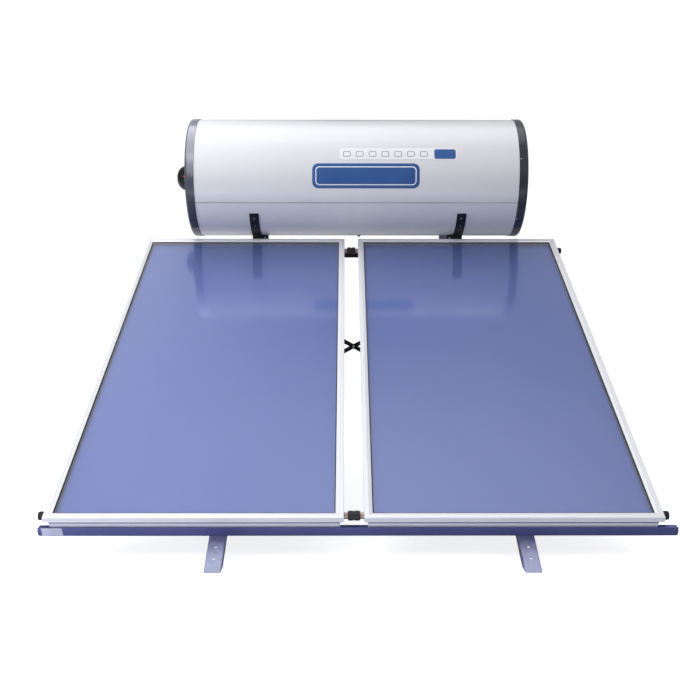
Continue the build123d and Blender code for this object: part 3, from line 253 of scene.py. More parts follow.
def solar_glass():
    """Low-iron patterned glass: see-through, with a hazy reflection that grows at a shallow angle."""
    sh = Shader("solar_glass")
    pattern = sh.noise(1.0, 2.0, 0.5, sh.mapped((420, 420, 420), (-SLOPE, 0, 0)))
    sheet = sh.noise(3.0, 2.0)
    normal = sh.bump(sheet, 0.002, 0.05, sh.bump(pattern, 0.00004, 0.2))
    gloss = sh.add("ShaderNodeBsdfGlossy")
    sh.put(gloss.inputs["Color"], (0.97, 0.98, 1.0))
    sh.put(gloss.inputs["Roughness"], sh.span(sheet, 0.10, 0.14))
    sh.join(normal, gloss.inputs["Normal"])
    haze = sh.add("ShaderNodeBsdfDiffuse")
    sh.put(haze.inputs["Color"], sh.mix(sheet, (0.60, 0.66, 0.80), (0.72, 0.76, 0.86)))
    clear = sh.add("ShaderNodeBsdfTransparent")
    sh.put(clear.inputs["Color"], (0.955, 0.975, 0.985))
    fresnel = sh.add("ShaderNodeFresnel")
    fresnel.inputs["IOR"].default_value = 1.5
    body = sh.add("ShaderNodeMixShader")
    body.inputs["Fac"].default_value = 0.035
    sh.join(clear.outputs["BSDF"], body.inputs[1])
    sh.join(haze.outputs["BSDF"], body.inputs[2])
    skin = sh.add("ShaderNodeMixShader")
    back = sh.add("ShaderNodeNewGeometry").outputs["Backfacing"]
    front = sh.math("SUBTRACT", 1.0, back)
    sh.put(skin.inputs["Fac"], sh.math("MULTIPLY", sh.math("MULTIPLY", fresnel.outputs["Fac"], 1.7), front))
    sh.join(body.outputs["Shader"], skin.inputs[1])
    sh.join(gloss.outputs["BSDF"], skin.inputs[2])
    sh.join(skin.outputs["Shader"], sh.output.inputs["Surface"])
    return sh.material


def painted_shell():
    """Glossy white stove enamel: orange peel, rolling waves, patchy darkening low down and painted shade
    along the seam.
    """
    sh = Shader("white_enamel_shell")
    peel = sh.noise(420.0, 2.0, 0.5)
    waves = sh.noise(1.0, 2.0, 0.5, sh.mapped((2.2, 9, 9)))
    _, y, z = sh.split(sh.coordinates)
    # Patchy darkening towards the bottom of the tank, from just below its middle down.
    low = sh.span(z, 0.35, 0.0, 1.17, 1.45)
    low_patches = sh.math("MULTIPLY", low, sh.noise(14.0, 4.0))
    tone = sh.mix(sh.noise(2.5, 3.0), (0.86, 0.865, 0.885), (0.82, 0.825, 0.85))
    tone = sh.mix(low_patches, tone, (0.66, 0.66, 0.66))
    # Painted shade: a dark, patchy line along the seam on the tank's front, standing for the shadow in the
    # seam.
    to_seam = sh.math("ABSOLUTE", sh.math("SUBTRACT", z, SEAM_HEIGHT))
    in_front = sh.math("LESS_THAN", y, TANK_CENTRE.y)
    seam_shade = sh.span(to_seam, 0.85, 0.0, 0.0010, 0.0045)
    patchy = sh.span(sh.noise(3.0, 2.0), 0.5, 1.0, 0.3, 0.6)
    seam_shade = sh.math("MULTIPLY", sh.math("MULTIPLY", seam_shade, in_front), patchy)
    tone = sh.mix(seam_shade, tone, (0.40, 0.41, 0.46))
    rough = sh.span(sh.noise(6.0, 3.0), 0.14, 0.26)
    normal = sh.bump(waves, 0.003, 0.10, sh.bump(peel, 0.00006, 0.25))
    sh.principled(tone, rough, 0.0, Normal=normal, Coat_Weight=0.35, Coat_Roughness=0.08)
    return sh.material


def powder_coat(name, color, roughness, worn=(0.42, 0.43, 0.45)):
    sh = Shader(name)
    grain = sh.noise(900.0, 2.0, 0.6)
    cloud = sh.noise(20.0, 3.0)
    tone = sh.mix(sh.span(cloud, 0.0, 0.6, 0.3, 0.7), color, tuple(1.7 * c + 0.004 for c in color))
    chips = sh.math("MULTIPLY", sh.edge_mask(0.0009), sh.span(sh.noise(60.0, 4.0), 0.0, 1.0, 0.55, 0.62))
    tone = sh.mix(chips, tone, worn)
    normal = sh.bump(grain, 0.00008, 0.45, sh.soft_edge(0.0008))
    sh.principled(tone, sh.span(grain, roughness - 0.06, roughness + 0.10), 0.0, Normal=normal)
    return sh.material


def galvanised(name, light, dark, roughness=0.42):
    """Zinc-dipped steel: crystal spangle, run marks and brighter worn edges."""
    sh = Shader(name)
    spangle = sh.cells(70.0, output="Color")
    value = sh.add("ShaderNodeRGBToBW")
    sh.join(spangle, value.inputs["Color"])
    small = sh.noise(240.0, 3.0)
    runs = sh.noise(1.0, 4.0, 0.6, sh.mapped((26, 26, 4)))
    tone = sh.mix(sh.span(value.outputs["Val"], 0.0, 1.0, 0.2, 0.8), dark, light)
    tone = sh.mix(sh.span(runs, 0.0, 0.45, 0.4, 0.8), tone, tuple(1.12 * c for c in light))
    tone = sh.mix(sh.math("MULTIPLY", sh.edge_mask(0.0010), 0.6), tone, (0.80, 0.82, 0.86))
    rough = sh.span(value.outputs["Val"], roughness - 0.10, roughness + 0.12)
    normal = sh.bump(small, 0.00010, 0.25, sh.soft_edge(0.0009))
    sh.principled(tone, rough, 0.75, Normal=normal)
    return sh.material


def rail_aluminium():
    sh = Shader("blue_grey_rail")
    lines = sh.noise(1.0, 2.0, 0.6, sh.mapped((3, 1500, 1500), (-SLOPE, 0, 0)))
    cloud = sh.noise(6.0, 3.0)
    tone = sh.mix(sh.span(lines, 0.0, 1.0, 0.3, 0.7), (0.15, 0.17, 0.39), (0.20, 0.22, 0.48))
    tone = sh.mix(sh.span(cloud, 0.0, 0.4, 0.4, 0.7), tone, (0.13, 0.145, 0.34))
    normal = sh.bump(lines, 0.00003, 0.35, sh.soft_edge(0.0008))
    sh.principled(tone, sh.span(lines, 0.34, 0.50), 0.8, Normal=normal)
    return sh.material


def zinc_fastener():
    sh = Shader("zinc_steel")
    turned = sh.noise(700.0, 3.0)
    tint = sh.noise(90.0, 2.0)
    tone = sh.ramp(tint, (0.3, (0.60, 0.62, 0.66)), (0.55, (0.72, 0.72, 0.72)), (0.75, (0.66, 0.63, 0.56)))
    normal = sh.bump(turned, 0.00005, 0.3, sh.soft_edge(0.0004))
    sh.principled(tone, sh.span(turned, 0.22, 0.40), 1.0, Normal=normal)
    return sh.material


def tarnished(name, bright, dull, roughness, scale=40.0):
    """Copper or brass with patches of brown oxide and drawing marks."""
    sh = Shader(name)
    patches = sh.noise(scale, 5.0, 0.6, distortion=0.6)
    marks = sh.noise(1.0, 2.0, 0.6, sh.mapped((30, 900, 900)))
    tone = sh.mix(sh.span(patches, 0.0, 1.0, 0.38, 0.68), bright, dull)
    rough = sh.math("ADD", sh.span(patches, roughness - 0.08, roughness + 0.18), sh.span(marks, -0.04, 0.04))
    sh.principled(tone, rough, 1.0, Normal=sh.bump(marks, 0.00004, 0.3, sh.soft_edge(0.0004)))
    return sh.material


def rubber(name="black_rubber", color=(0.018, 0.018, 0.020)):
    sh = Shader(name)
    grain = sh.noise(1300.0, 3.0, 0.7)
    bloom = sh.noise(45.0, 4.0)
    tone = sh.mix(sh.span(bloom, 0.0, 0.5, 0.45, 0.8), color, (0.055, 0.055, 0.058))
    sh.principled(tone, sh.span(grain, 0.62, 0.82), 0.0, Normal=sh.bump(grain, 0.00006, 0.5))
    return sh.material


def moulded_plastic(name, color, roughness, grain_depth, lighter, coat=0.0):
    sh = Shader(name)
    grain = sh.cells(1500.0)
    flow = sh.noise(9.0, 4.0, distortion=0.4)
    tone = sh.mix(sh.span(flow, 0.0, 0.45, 0.4, 0.75), color, lighter)
    scuffs = sh.math("MULTIPLY", sh.edge_mask(0.0012), sh.span(sh.noise(50.0, 3.0), 0.0, 0.5, 0.4, 0.7))
    tone = sh.mix(scuffs, tone, tuple(2.2 * c + 0.02 for c in lighter))
    rough = sh.span(flow, roughness - 0.05, roughness + 0.08)
    normal = sh.bump(grain, grain_depth, 0.4, sh.soft_edge(0.0010))
    sh.principled(tone, rough, 0.0, Normal=normal, Coat_Weight=coat, Coat_Roughness=0.2)
    return sh.material


def red_lens():
    sh = Shader("red_lens")
    ribs = sh.noise(1.0, 1.0, 0.5, sh.mapped((900, 40, 40)))
    depth = sh.add("ShaderNodeLayerWeight")
    depth.inputs["Blend"].default_value = 0.4
    tone = sh.mix(depth.outputs["Facing"], (0.45, 0.015, 0.025), (0.10, 0.003, 0.006))
    sh.principled(tone, sh.span(ribs, 0.08, 0.18), 0.0, Normal=sh.bump(ribs, 0.0001, 0.3), Coat_Weight=0.6)
    return sh.material


def mineral_wool():
    sh = Shader("mineral_wool")
    fibres = sh.noise(1.0, 6.0, 0.75, sh.mapped((60, 60, 420), (-SLOPE, 0, 0)), 2.5)
    clumps = sh.noise(35.0, 5.0, 0.7)
    tone = sh.ramp(fibres, (0.3, (0.42, 0.34, 0.14)), (0.5, (0.72, 0.62, 0.32)), (0.7, (0.88, 0.82, 0.55)))
    normal = sh.bump(fibres, 0.002, 0.8, sh.bump(clumps, 0.004, 0.5))
    sh.principled(tone, 0.95, 0.0, Normal=normal)
    return sh.material


def rigid_foam():
    sh = Shader("foam")
    pores = sh.cells(320.0)
    skin = sh.noise(12.0, 4.0)
    tone = sh.mix(sh.span(skin, 0.0, 0.7), (0.86, 0.76, 0.48), (0.70, 0.55, 0.26))
    tone = sh.mix(sh.span(pores, 0.35, 0.0, 0.0, 0.4), tone, (0.45, 0.34, 0.15))
    sh.principled(tone, 0.85, 0.0, Normal=sh.bump(pores, 0.0008, 0.7))
    return sh.material


def vessel_enamel():
    sh = Shader("vessel_enamel")
    specks = sh.cells(260.0)
    flow = sh.noise(10.0, 4.0)
    tone = sh.mix(flow, (0.16, 0.23, 0.32), (0.24, 0.33, 0.43))
    tone = sh.mix(sh.span(specks, 1.0, 0.0, 0.05, 0.16), tone, (0.05, 0.07, 0.10))
    sh.principled(tone, sh.span(flow, 0.18, 0.34), 0.0, Normal=sh.bump(flow, 0.0008, 0.3), Coat_Weight=0.4)
    return sh.material


def black_steel_sheet():
    sh = Shader("jacket_steel")
    scale = sh.noise(55.0, 5.0, 0.65)
    brushed = sh.noise(1.0, 2.0, 0.6, sh.mapped((6, 700, 700)))
    tone = sh.ramp(scale, (0.3, (0.30, 0.31, 0.33)), (0.6, (0.44, 0.44, 0.45)), (0.8, (0.36, 0.29, 0.24)))
    sh.principled(tone, sh.span(brushed, 0.40, 0.58), 0.9, Normal=sh.bump(brushed, 0.00004, 0.4))
    return sh.material


def magnesium():
    sh = Shader("magnesium")
    cast = sh.noise(170.0, 5.0, 0.7)
    tone = sh.mix(cast, (0.42, 0.42, 0.41), (0.66, 0.66, 0.63))
    sh.principled(tone, sh.span(cast, 0.50, 0.75), 0.8, Normal=sh.bump(cast, 0.0004, 0.5))
    return sh.material


def collector_frames(side, centre_x):
    """Bezel and case take draw lines that follow their own mitres."""
    low_point = SLOPE_ORIGIN.y * math.cos(SLOPE) + SLOPE_ORIGIN.z * math.sin(SLOPE)
    limits = (centre_x, 0.5, low_point, low_point + 2.0)
    bezel = extruded_aluminium(f"{side}_bezel_metal", (0.93, 0.94, 0.98), 0.32, 0.28, *limits)
    case = extruded_aluminium(f"{side}_case_metal", (0.88, 0.91, 1.0), 0.40, 0.08, *limits)
    return {f"collector_{side}_bezel": bezel, f"collector_{side}_case": case}


def collector_middle(side):
    low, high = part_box(f"collector_{side}_case")
    return (low.x + high.x) / 2


SLOT_MATERIALS = {
    "mill_aluminium": mill_aluminium(),
    "mineral_wool": mineral_wool(),
    "blue_absorber": solar_absorber(),
    "copper": tarnished("copper", (0.84, 0.57, 0.50), (0.46, 0.29, 0.26), 0.28),
    "solar_glass": solar_glass(),
    "black_rubber": rubber(),
    "black_fittings": powder_coat("black_fittings", (0.014, 0.014, 0.016), 0.42),
    "white_enamel_shell": painted_shell(),
    "vessel_enamel": vessel_enamel(),
    "jacket_steel": black_steel_sheet(),
    "foam": rigid_foam(),
    "grey_plastic": moulded_plastic(
        "grey_plastic", (0.032, 0.035, 0.047), 0.27, 0.00006, (0.046, 0.049, 0.062), 0.5),
    "black_gloss_plastic": moulded_plastic(
        "black_gloss_plastic", (0.008, 0.008, 0.009), 0.14, 0.00002, (0.014, 0.014, 0.015)),
    "red_lens": red_lens(),
    "white_plastic": moulded_plastic("white_plastic", (0.72, 0.72, 0.69), 0.34, 0.00005, (0.78, 0.78, 0.75)),
    "zinc_steel": zinc_fastener(),
    "brass_body": tarnished("brass_body", (0.80, 0.62, 0.28), (0.44, 0.30, 0.13), 0.26),
    "galvanised_steel": galvanised("galvanised_steel", (0.44, 0.47, 0.64), (0.34, 0.37, 0.53)),
    "blue_grey_rail": rail_aluminium(),
    "black_paint": powder_coat("black_paint", (0.006, 0.006, 0.008), 0.42),
    "magnesium": magnesium(),
}

node_materials = {}
for row in frame["record"]["subparts"]:
    if row["material_slot"] in SLOT_MATERIALS:
        node_materials[row["node"]] = SLOT_MATERIALS[row["material_slot"]]
for side in ("left", "right"):
    node_materials.update(collector_frames(side, collector_middle(side)))
for name, node in NODES.items():
    node.data.materials.clear()
    node.data.materials.append(node_materials[name])


def mesh_piece(name, mesh, body, material):
    piece = bpy.data.objects.new(name, mesh)
    bpy.context.scene.collection.objects.link(piece)
    mesh.materials.append(material)
    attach(piece, body)
    return piece


def stage_piece(name, mesh, material):
    piece = bpy.data.objects.new(name, mesh)
    bpy.context.scene.collection.objects.link(piece)
    mesh.materials.append(material)
    return piece


def shell_point(x, angle, radius):
    """A point over the tank: angle in degrees above the horizontal on the sunny side."""
    a = math.radians(angle)
    return Vector((x, TANK_CENTRE.y - radius * math.cos(a), TANK_CENTRE.z + radius * math.sin(a)))


def wrapped_sticker(name, centre, size, corner, lift, material, hollow=0.0):
    """A rounded label on the tank's curve. Centre is (x, angle), size is metres, hollow leaves a border."""
    thickness = 0.00025
    radius = SHELL_RADIUS + lift

    def outline(shrink):
        half_x, half_s = size[0] / 2 - shrink, size[1] / 2 - shrink
        r = max(corner - shrink, 0.0005)
        loop = []
        for quarter, (sx, ss) in enumerate(((1, 1), (-1, 1), (-1, -1), (1, -1))):
            for k in range(7):
                a = math.radians(90 * quarter + 15 * k)
                loop.append((sx * (half_x - r) + r * math.cos(a), ss * (half_s - r) + r * math.sin(a)))
        fine = []
        for k, (x, s) in enumerate(loop):
            nx, ns = loop[(k + 1) % len(loop)]
            steps = max(1, int(math.hypot(nx - x, ns - s) / 0.006))
            for j in range(steps):
                fine.append((x + (nx - x) * j / steps, s + (ns - s) * j / steps))
        return fine

    def place(x, s, height):
        angle = centre[1] + math.degrees(s / SHELL_RADIUS)
        return shell_point(centre[0] + x, angle, radius + height)

    form = bmesh.new()
    outer = outline(0.0)
    rings = 14
    share_end = 1.0 - hollow / (min(size) / 2) if hollow else 0.0
    levels = [1.0 - (1.0 - share_end) * k / rings for k in range(rings + 1)]
    inner = outline(hollow) if hollow else None

    def ring(share, height):
        loop = []
        for k, (x, s) in enumerate(outer):
            if hollow:
                t = (1.0 - share) / (1.0 - share_end)
                j = int(round(k * len(inner) / len(outer))) % len(inner)
                qx, qs = inner[j]
                px, ps = x + (qx - x) * t, s + (qs - s) * t
            else:
                core = max(size[0] - size[1], 0.0) / 2
                cx = max(-core, min(core, x))
                px, ps = cx + (x - cx) * share, s * share
            loop.append(form.verts.new(place(px, ps, height)))
        return loop

    top = [ring(share, thickness) for share in levels]
    skirt = ring(1.0, 0.0)
    loops = [skirt] + top
    for a, b in zip(loops, loops[1:]):
        for k in range(len(a)):
            j = (k + 1) % len(a)
            form.faces.new((a[k], a[j], b[j], b[k]))
    if not hollow:
        bmesh.ops.remove_doubles(form, verts=form.verts, dist=1e-6)
    bmesh.ops.recalc_face_normals(form, faces=form.faces)
    mesh = bpy.data.meshes.new(name)
    form.to_mesh(mesh)
    form.free()
    mesh.shade_smooth()
    return mesh_piece(name, mesh, "heater", material)


def printed_film(name, color, edge, roughness=0.28):
    sh = Shader(name)
    print_grain = sh.noise(600.0, 2.0)
    fade = sh.noise(7.0, 3.0)
    tone = sh.mix(sh.span(fade, 0.0, 0.5, 0.35, 0.7), color, edge)
    normal = sh.bump(print_grain, 0.00003, 0.3)
    rough = sh.span(print_grain, roughness - 0.05, roughness + 0.08)
    sh.principled(tone, rough, 0.0, Normal=normal, Coat_Weight=0.3)
    return sh.material


def tank_labels():
    """Plain printed labels: a blue one with a white border, and a strip of empty fields."""
    blue = printed_film("label_blue", (0.035, 0.110, 0.330), (0.050, 0.140, 0.390))
    white = printed_film("label_white", (0.97, 0.975, 0.99), (0.93, 0.94, 0.97))
    grey = printed_film("label_grey", (0.26, 0.28, 0.34), (0.20, 0.22, 0.28))
    main_place, on_shell, on_label = (0.055, -4.0), 0.0002, 0.00046
    wrapped_sticker("label_main", main_place, (0.52, 0.120), 0.030, on_shell, blue)
    border_size = (0.49, 0.090)
    wrapped_sticker("label_border", main_place, border_size, 0.020, on_label, white, hollow=0.005)
    strip_place = (STRIP_CENTRE_X, STRIP_ANGLE)
    wrapped_sticker("label_strip", strip_place, (0.572, 0.059), 0.008, on_shell, white)
    first_field, field_pitch, field_size = -0.252, 0.062, (0.036, 0.028)
    for k in range(7):
        place = (STRIP_CENTRE_X + first_field + field_pitch * k, STRIP_ANGLE)
        name = f"label_field_{k + 1}"
        wrapped_sticker(name, place, field_size, 0.006, on_label, grey, hollow=0.003)
    wrapped_sticker("label_field_8", (0.438, STRIP_ANGLE), (0.104, 0.050), 0.010, on_label, blue)


def rail_end_highlight_strip():
    """Bright strip wrapped round the bottom rail's left end, as a folded strip with rolled corners: a
    painted highlight where the rail end, clear of the collectors' shade, reflects the bright surroundings.
    """
    low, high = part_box("bottom_rail")
    x0, x1 = low.x + 0.012, low.x + 0.082
    along = Vector((0, math.cos(SLOPE), math.sin(SLOPE)))
    out = Vector((0, -math.sin(SLOPE), math.cos(SLOPE)))
    s0, s1, n0, n1 = 0.005, 0.034, -0.088, -0.0500
    gap, sheet, bend = 0.0003, 0.0008, 0.0016

    def path(offset):
        points = [(s0 - offset, n1 - 0.001)]
        for k in range(7):
            a = math.radians(180 + 15 * k)
            r = bend + offset
            points.append((s0 + bend + r * math.cos(a), n0 + bend + r * math.sin(a)))
        points.append((s1 - 0.004, n0 - offset))
        return points

    form = bmesh.new()
    inner, outer = path(gap), path(gap + sheet)
    loop = outer + inner[::-1]
    columns = 12
    rings = []
    for k in range(columns + 1):
        x = x0 + (x1 - x0) * k / columns
        section = SLOPE_ORIGIN + Vector((x, 0, 0))
        rings.append([form.verts.new(section + along * s + out * n) for s, n in loop])
    for a, b in zip(rings, rings[1:]):
        for k in range(len(loop)):
            j = (k + 1) % len(loop)
            form.faces.new((a[k], a[j], b[j], b[k]))
    half = len(outer)
    for ring in (rings[0], rings[-1]):
        for k in range(half - 1):
            form.faces.new((ring[k], ring[k + 1], ring[-k - 2], ring[-k - 1]))
    bmesh.ops.recalc_face_normals(form, faces=form.faces)
    mesh = bpy.data.meshes.new("rail_end_highlight_strip")
    form.to_mesh(mesh)
    form.free()
    # Pale zinc colour: painted highlight of the rail's end catching the light.
    highlight_zinc = galvanised("rail_end_painted_highlight", (0.80, 0.84, 0.96), (0.68, 0.72, 0.86), 0.34)
    return mesh_piece("rail_end_highlight_strip", mesh, "heater", highlight_zinc)


def case_shadow_strip(side, centre_x):
    """Dark strip round a collector's case, just under the skirt of its cover frame: a painted shadow for the
    shade in the gap under the skirt.
    """
    inset, length, half_width = 0.013, 2.0, 0.5
    bead_n, half_height, proud = -0.0350, 0.0020, 0.0014
    along = Vector((0, math.cos(SLOPE), math.sin(SLOPE)))
    out = Vector((0, -math.sin(SLOPE), math.cos(SLOPE)))
    across = Vector((1, 0, 0))
    corner = 0.003
    near_x, near_s = half_width - inset, inset
    outline = []
    for quarter, (sx, ss) in enumerate(((1, 1), (-1, 1), (-1, -1), (1, -1))):
        mid_s = length / 2 + ss * (length / 2 - near_s - corner)
        mid_x = sx * (near_x - corner)
        for k in range(6):
            a = math.radians(90 * quarter + 18 * k)
            nx, ns = math.cos(a), math.sin(a)
            outline.append((mid_x + corner * nx, mid_s + corner * ns, nx, ns))
    form = bmesh.new()
    rings = []
    for x, s, nx, ns in outline:
        ring = []
        for j in range(9):
            a = math.radians(-90 + 180 * j / 8)
            lift = 0.0001 + proud * math.cos(a)
            n = bead_n + half_height * math.sin(a)
            ring.append(form.verts.new(
                SLOPE_ORIGIN + across * (centre_x + x + nx * lift) + along * (s + ns * lift) + out * n))
        rings.append(ring)
    for a, b in zip(rings, rings[1:] + rings[:1]):
        for j in range(9):
            n = (j + 1) % 9
            form.faces.new((a[j], a[n], b[n], b[j]))
    bmesh.ops.recalc_face_normals(form, faces=form.faces)
    mesh = bpy.data.meshes.new(f"case_shadow_strip_{side}")
    form.to_mesh(mesh)
    form.free()
    mesh.shade_smooth()
    # Dark navy rubber colour: painted shadow of the frame's skirt on the case.
    shadow_paint = rubber(f"case_shadow_rubber_{side}", (0.150, 0.160, 0.290))
    return mesh_piece(f"case_shadow_strip_{side}", mesh, "heater", shadow_paint)


def weld_beads(side, sign):
    """Rippled fillet welds where a rear leg stands on its foot plate."""
    plate_top = 0.006
    outer_x, near_y, far_y, inner_x = sign * 0.5025, 0.974, 1.014, sign * 0.4625
    size, step = 0.0042, 0.0009
    near_corner = Vector((outer_x, near_y + 0.002, plate_top))
    outer_corner = Vector((outer_x, far_y, plate_top))
    inner_corner = Vector((inner_x + sign * 0.002, far_y, plate_top))
    runs = [
        (near_corner, outer_corner, Vector((sign, 0, 0))),
        (outer_corner, inner_corner, Vector((0, 1, 0))),
    ]
    form = bmesh.new()
    for start, end, out in runs:
        along = (end - start).normalized()
        count = int((end - start).length / step)
        rings = []
        for k in range(count + 1):
            ripple = 1.0 + 0.14 * abs(math.sin(k * 0.55)) + 0.06 * math.sin(k * 0.21 + sign)
            taper = min(1.0, 0.35 + 0.16 * min(k, count - k))
            root = start + along * step * k
            ring = []
            for j in range(9):
                a = math.radians(90 * j / 8)
                swell = 0.80 + 0.12 * math.sin(2 * a)
                reach = size * ripple * taper * swell
                rise = Vector((0, 0, reach * math.sin(a)))
                ring.append(form.verts.new(root + out * reach * math.cos(a) + rise))
            ring.append(form.verts.new(root))
            rings.append(ring)
        for a, b in zip(rings, rings[1:]):
            for j in range(10):
                n = (j + 1) % 10
                form.faces.new((a[j], a[n], b[n], b[j]))
        form.faces.new(rings[0])
        form.faces.new(rings[-1])
    bmesh.ops.recalc_face_normals(form, faces=form.faces)
    mesh = bpy.data.meshes.new(f"weld_beads_{side}")
    form.to_mesh(mesh)
    form.free()
    mesh.shade_smooth()
    zinc = galvanised(f"weld_zinc_{side}", (0.46, 0.48, 0.58), (0.30, 0.32, 0.42), 0.5)
    return mesh_piece(f"weld_beads_{side}", mesh, "heater", zinc)


def pale_floor():
    sh = Shader("studio_floor")
    grain = sh.noise(9.0, 3.0)
    x, y, _ = sh.split(sh.coordinates)
    pale = sh.mix(grain, (0.90, 0.90, 0.91), (0.93, 0.93, 0.94))
    # Colour seen only by bounce rays: painted light and shade for lighting the object. It is dark under the
    # front of the unit and towards the right, brighter behind, with a bright cold strip further in front.
    bounce_paint = sh.mix(sh.span(y, 0.0, 1.0, 0.2, 1.6), (0.36, 0.38, 0.46), (0.85, 0.86, 0.90))
    bounce_paint = sh.mix(sh.span(x, 0.0, 0.75, -0.8, 1.2), bounce_paint, (0.10, 0.11, 0.15))
    in_front = sh.math("MULTIPLY", sh.span(y, 1.0, 0.0, -1.3, -1.0), sh.span(y, 0.0, 1.0, -2.4, -1.7))
    bounce_paint = sh.mix(in_front, bounce_paint, (0.92, 0.95, 1.0))
    path = sh.add("ShaderNodeLightPath")
    diffuse = sh.add("ShaderNodeBsdfDiffuse")
    sh.put(diffuse.inputs["Color"], sh.mix(path.outputs["Is Camera Ray"], bounce_paint, pale))
    glow = sh.add("ShaderNodeEmission")
    sh.put(glow.inputs["Color"], (1.0, 1.0, 1.0))
    sh.put(glow.inputs["Strength"], 0.74)
    lit = sh.add("ShaderNodeAddShader")
    sh.join(diffuse.outputs["BSDF"], lit.inputs[0])
    sh.join(glow.outputs["Emission"], lit.inputs[1])
    far_glow = sh.add("ShaderNodeEmission")
    sh.put(far_glow.inputs["Color"], (1.0, 1.0, 1.0))
    sh.put(far_glow.inputs["Strength"], 1.05)
    away = sh.add("ShaderNodeVectorMath", operation="LENGTH")
    sh.join(sh.coordinates, away.inputs[0])
    fade = sh.add("ShaderNodeMixShader")
    sh.put(fade.inputs["Fac"], sh.span(away.outputs["Value"], 0.0, 1.0, 1.8, 3.2))
    sh.join(lit.outputs["Shader"], fade.inputs[1])
    sh.join(far_glow.outputs["Emission"], fade.inputs[2])
    pick = sh.add("ShaderNodeMixShader")
    sh.join(path.outputs["Is Camera Ray"], pick.inputs["Fac"])
    sh.join(diffuse.outputs["BSDF"], pick.inputs[1])
    sh.join(fade.outputs["Shader"], pick.inputs[2])
    sh.join(pick.outputs["Shader"], sh.output.inputs["Surface"])
    mesh = bpy.data.meshes.new("studio_floor")
    form = bmesh.new()
    bmesh.ops.create_grid(form, x_segments=2, y_segments=2, size=60.0)
    form.to_mesh(mesh)
    form.free()
    floor = stage_piece("studio_floor", mesh, sh.material)
    floor.location.z = cad_low.z - 0.0005
    return floor


def studio_world():
    """White behind the object for the camera; panels brightest overhead and near left light it."""
    world = bpy.data.worlds.new("studio")
    bpy.context.scene.world = world
    world.use_nodes = True
    tree = world.node_tree
    tree.nodes.clear()
    output = tree.nodes.new("ShaderNodeOutputWorld")
    coordinates = tree.nodes.new("ShaderNodeTexCoord")
    split = tree.nodes.new("ShaderNodeSeparateXYZ")
    tree.links.new(coordinates.outputs["Generated"], split.inputs["Vector"])

    def ramp(axis, stops):
        scaled = tree.nodes.new("ShaderNodeMapRange")
        scaled.inputs["From Min"].default_value = -1.0
        tree.links.new(split.outputs[axis], scaled.inputs["Value"])
        node = tree.nodes.new("ShaderNodeValToRGB")
        tree.links.new(scaled.outputs["Result"], node.inputs["Fac"])
        elements = node.color_ramp.elements
        while len(elements) < len(stops):
            elements.new(0.5)
        while len(elements) > len(stops):
            elements.remove(elements[-1])
        for element, (place, value) in zip(elements, stops):
            element.position = (place + 1.0) / 2.0
            element.color = (value, value, value, 1.0)
        return node.outputs["Color"]

    def combine(operation, a, b):
        node = tree.nodes.new("ShaderNodeMath")
        node.operation = operation
        for value, socket in zip((a, b), node.inputs):
            if isinstance(value, float):
                socket.default_value = value
            else:
                tree.links.new(value, socket)
        return node.outputs[0]

    total = 0.0
    for strength, height, side in WORLD_PANELS.values():
        panel = combine("MULTIPLY", ramp("Z", height), ramp("X", side))
        total = combine("ADD", total, combine("MULTIPLY", panel, strength))
    lighting = tree.nodes.new("ShaderNodeBackground")
    lighting.inputs["Color"].default_value = (*WORLD_TINT, 1.0)
    tree.links.new(total, lighting.inputs["Strength"])
    backdrop = tree.nodes.new("ShaderNodeBackground")
    backdrop.inputs["Color"].default_value = (1, 1, 1, 1)
    backdrop.inputs["Strength"].default_value = 1.05
    path = tree.nodes.new("ShaderNodeLightPath")
    pick = tree.nodes.new("ShaderNodeMixShader")
    tree.links.new(path.outputs["Is Camera Ray"], pick.inputs["Fac"])
    tree.links.new(lighting.outputs["Background"], pick.inputs[1])
    tree.links.new(backdrop.outputs["Background"], pick.inputs[2])
    tree.links.new(pick.outputs["Shader"], output.inputs["Surface"])


def soft_light(name, place, target, size, power, color=(1, 1, 1), mirrored=False):
    data = bpy.data.lights.new(name, "AREA")
    data.shape = "RECTANGLE"
    data.size, data.size_y = size
    data.energy = power
    data.color = color
    light = bpy.data.objects.new(name, data)
    bpy.context.scene.collection.objects.link(light)
    light.location = place
    light.visible_glossy = mirrored
    aim = Vector(target) - Vector(place)
    light.rotation_euler = aim.to_track_quat("-Z", "Y").to_euler()
    return light


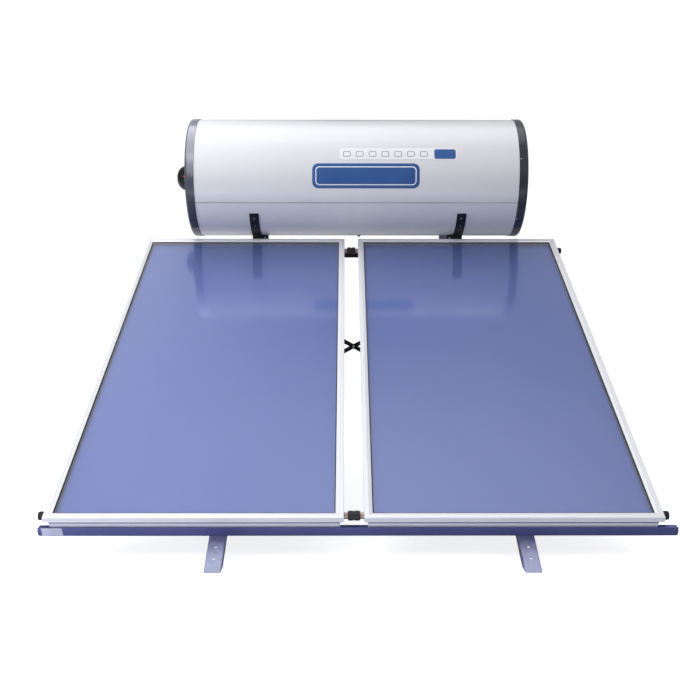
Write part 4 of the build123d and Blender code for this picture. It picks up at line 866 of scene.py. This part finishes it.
def light_only(lights, target):
    """Let these lights reach one object and nothing else."""
    lit = bpy.data.collections.new(f"lit_{target.name}")
    lit.objects.link(target)
    for light in lights:
        light.light_linking.receiver_collection = lit


def photo_camera():
    data = bpy.data.cameras.new("camera")
    data.sensor_width = 36.0
    data.lens = LENS_MM
    data.clip_end = 200.0
    camera = bpy.data.objects.new("camera", data)
    bpy.context.scene.collection.objects.link(camera)
    turn = (
        Matrix.Rotation(-CAMERA_RIGHT, 4, "Z")
        @ Matrix.Rotation(math.pi / 2 - CAMERA_DOWN, 4, "X")
        @ Matrix.Rotation(CAMERA_ROLL, 4, "Z")
    )
    camera.matrix_world = Matrix.Translation(CAMERA_PLACE) @ turn
    bpy.context.scene.camera = camera


tank_labels()
rail_end_highlight_strip()
case_shadow_strip("left", collector_middle("left"))
case_shadow_strip("right", collector_middle("right"))
weld_beads("left", -1)
weld_beads("right", 1)
floor = pale_floor()
studio_world()
soft_light("overhead", (-2.0, -0.9, 4.2), (-0.2, 0.4, 0.9), (4.0, 3.6), 90)
soft_light("left_front", (-4.6, -3.2, 3.0), (0, 0.2, 1.0), (2.2, 2.2), 6, mirrored=True)
soft_light("left_close", (-3.2, -1.9, 1.9), (-0.4, 0.5, 1.3), (1.6, 1.6), 33)
soft_light("left_low", (-3.0, -2.6, 0.5), (-0.5, -0.6, 0.4), (1.2, 1.2), 12)
cap_light_top = soft_light(
    "cap_light_top", (-1.2, -0.1, 3.4), (-0.85, 0.6, 1.6), (3.4, 3.4), 175, COLD_LIGHT, mirrored=True)
cap_light_front = soft_light(
    "cap_light_front", (-1.3, -2.4, 2.6), (-0.85, 0.6, 1.5), (2.0, 2.4), 45, COLD_LIGHT, mirrored=True)
floor_wash = soft_light(
    "floor_wash", (-0.3, -2.1, 1.6), (-0.3, -2.1, 0.0), (4.5, 1.4), 20, COLD_FLOOR_LIGHT)
light_only([cap_light_top, cap_light_front], NODES["end_cap_left"])
light_only([floor_wash], floor)
photo_camera()
bpy.context.scene.view_settings.view_transform = "Standard"
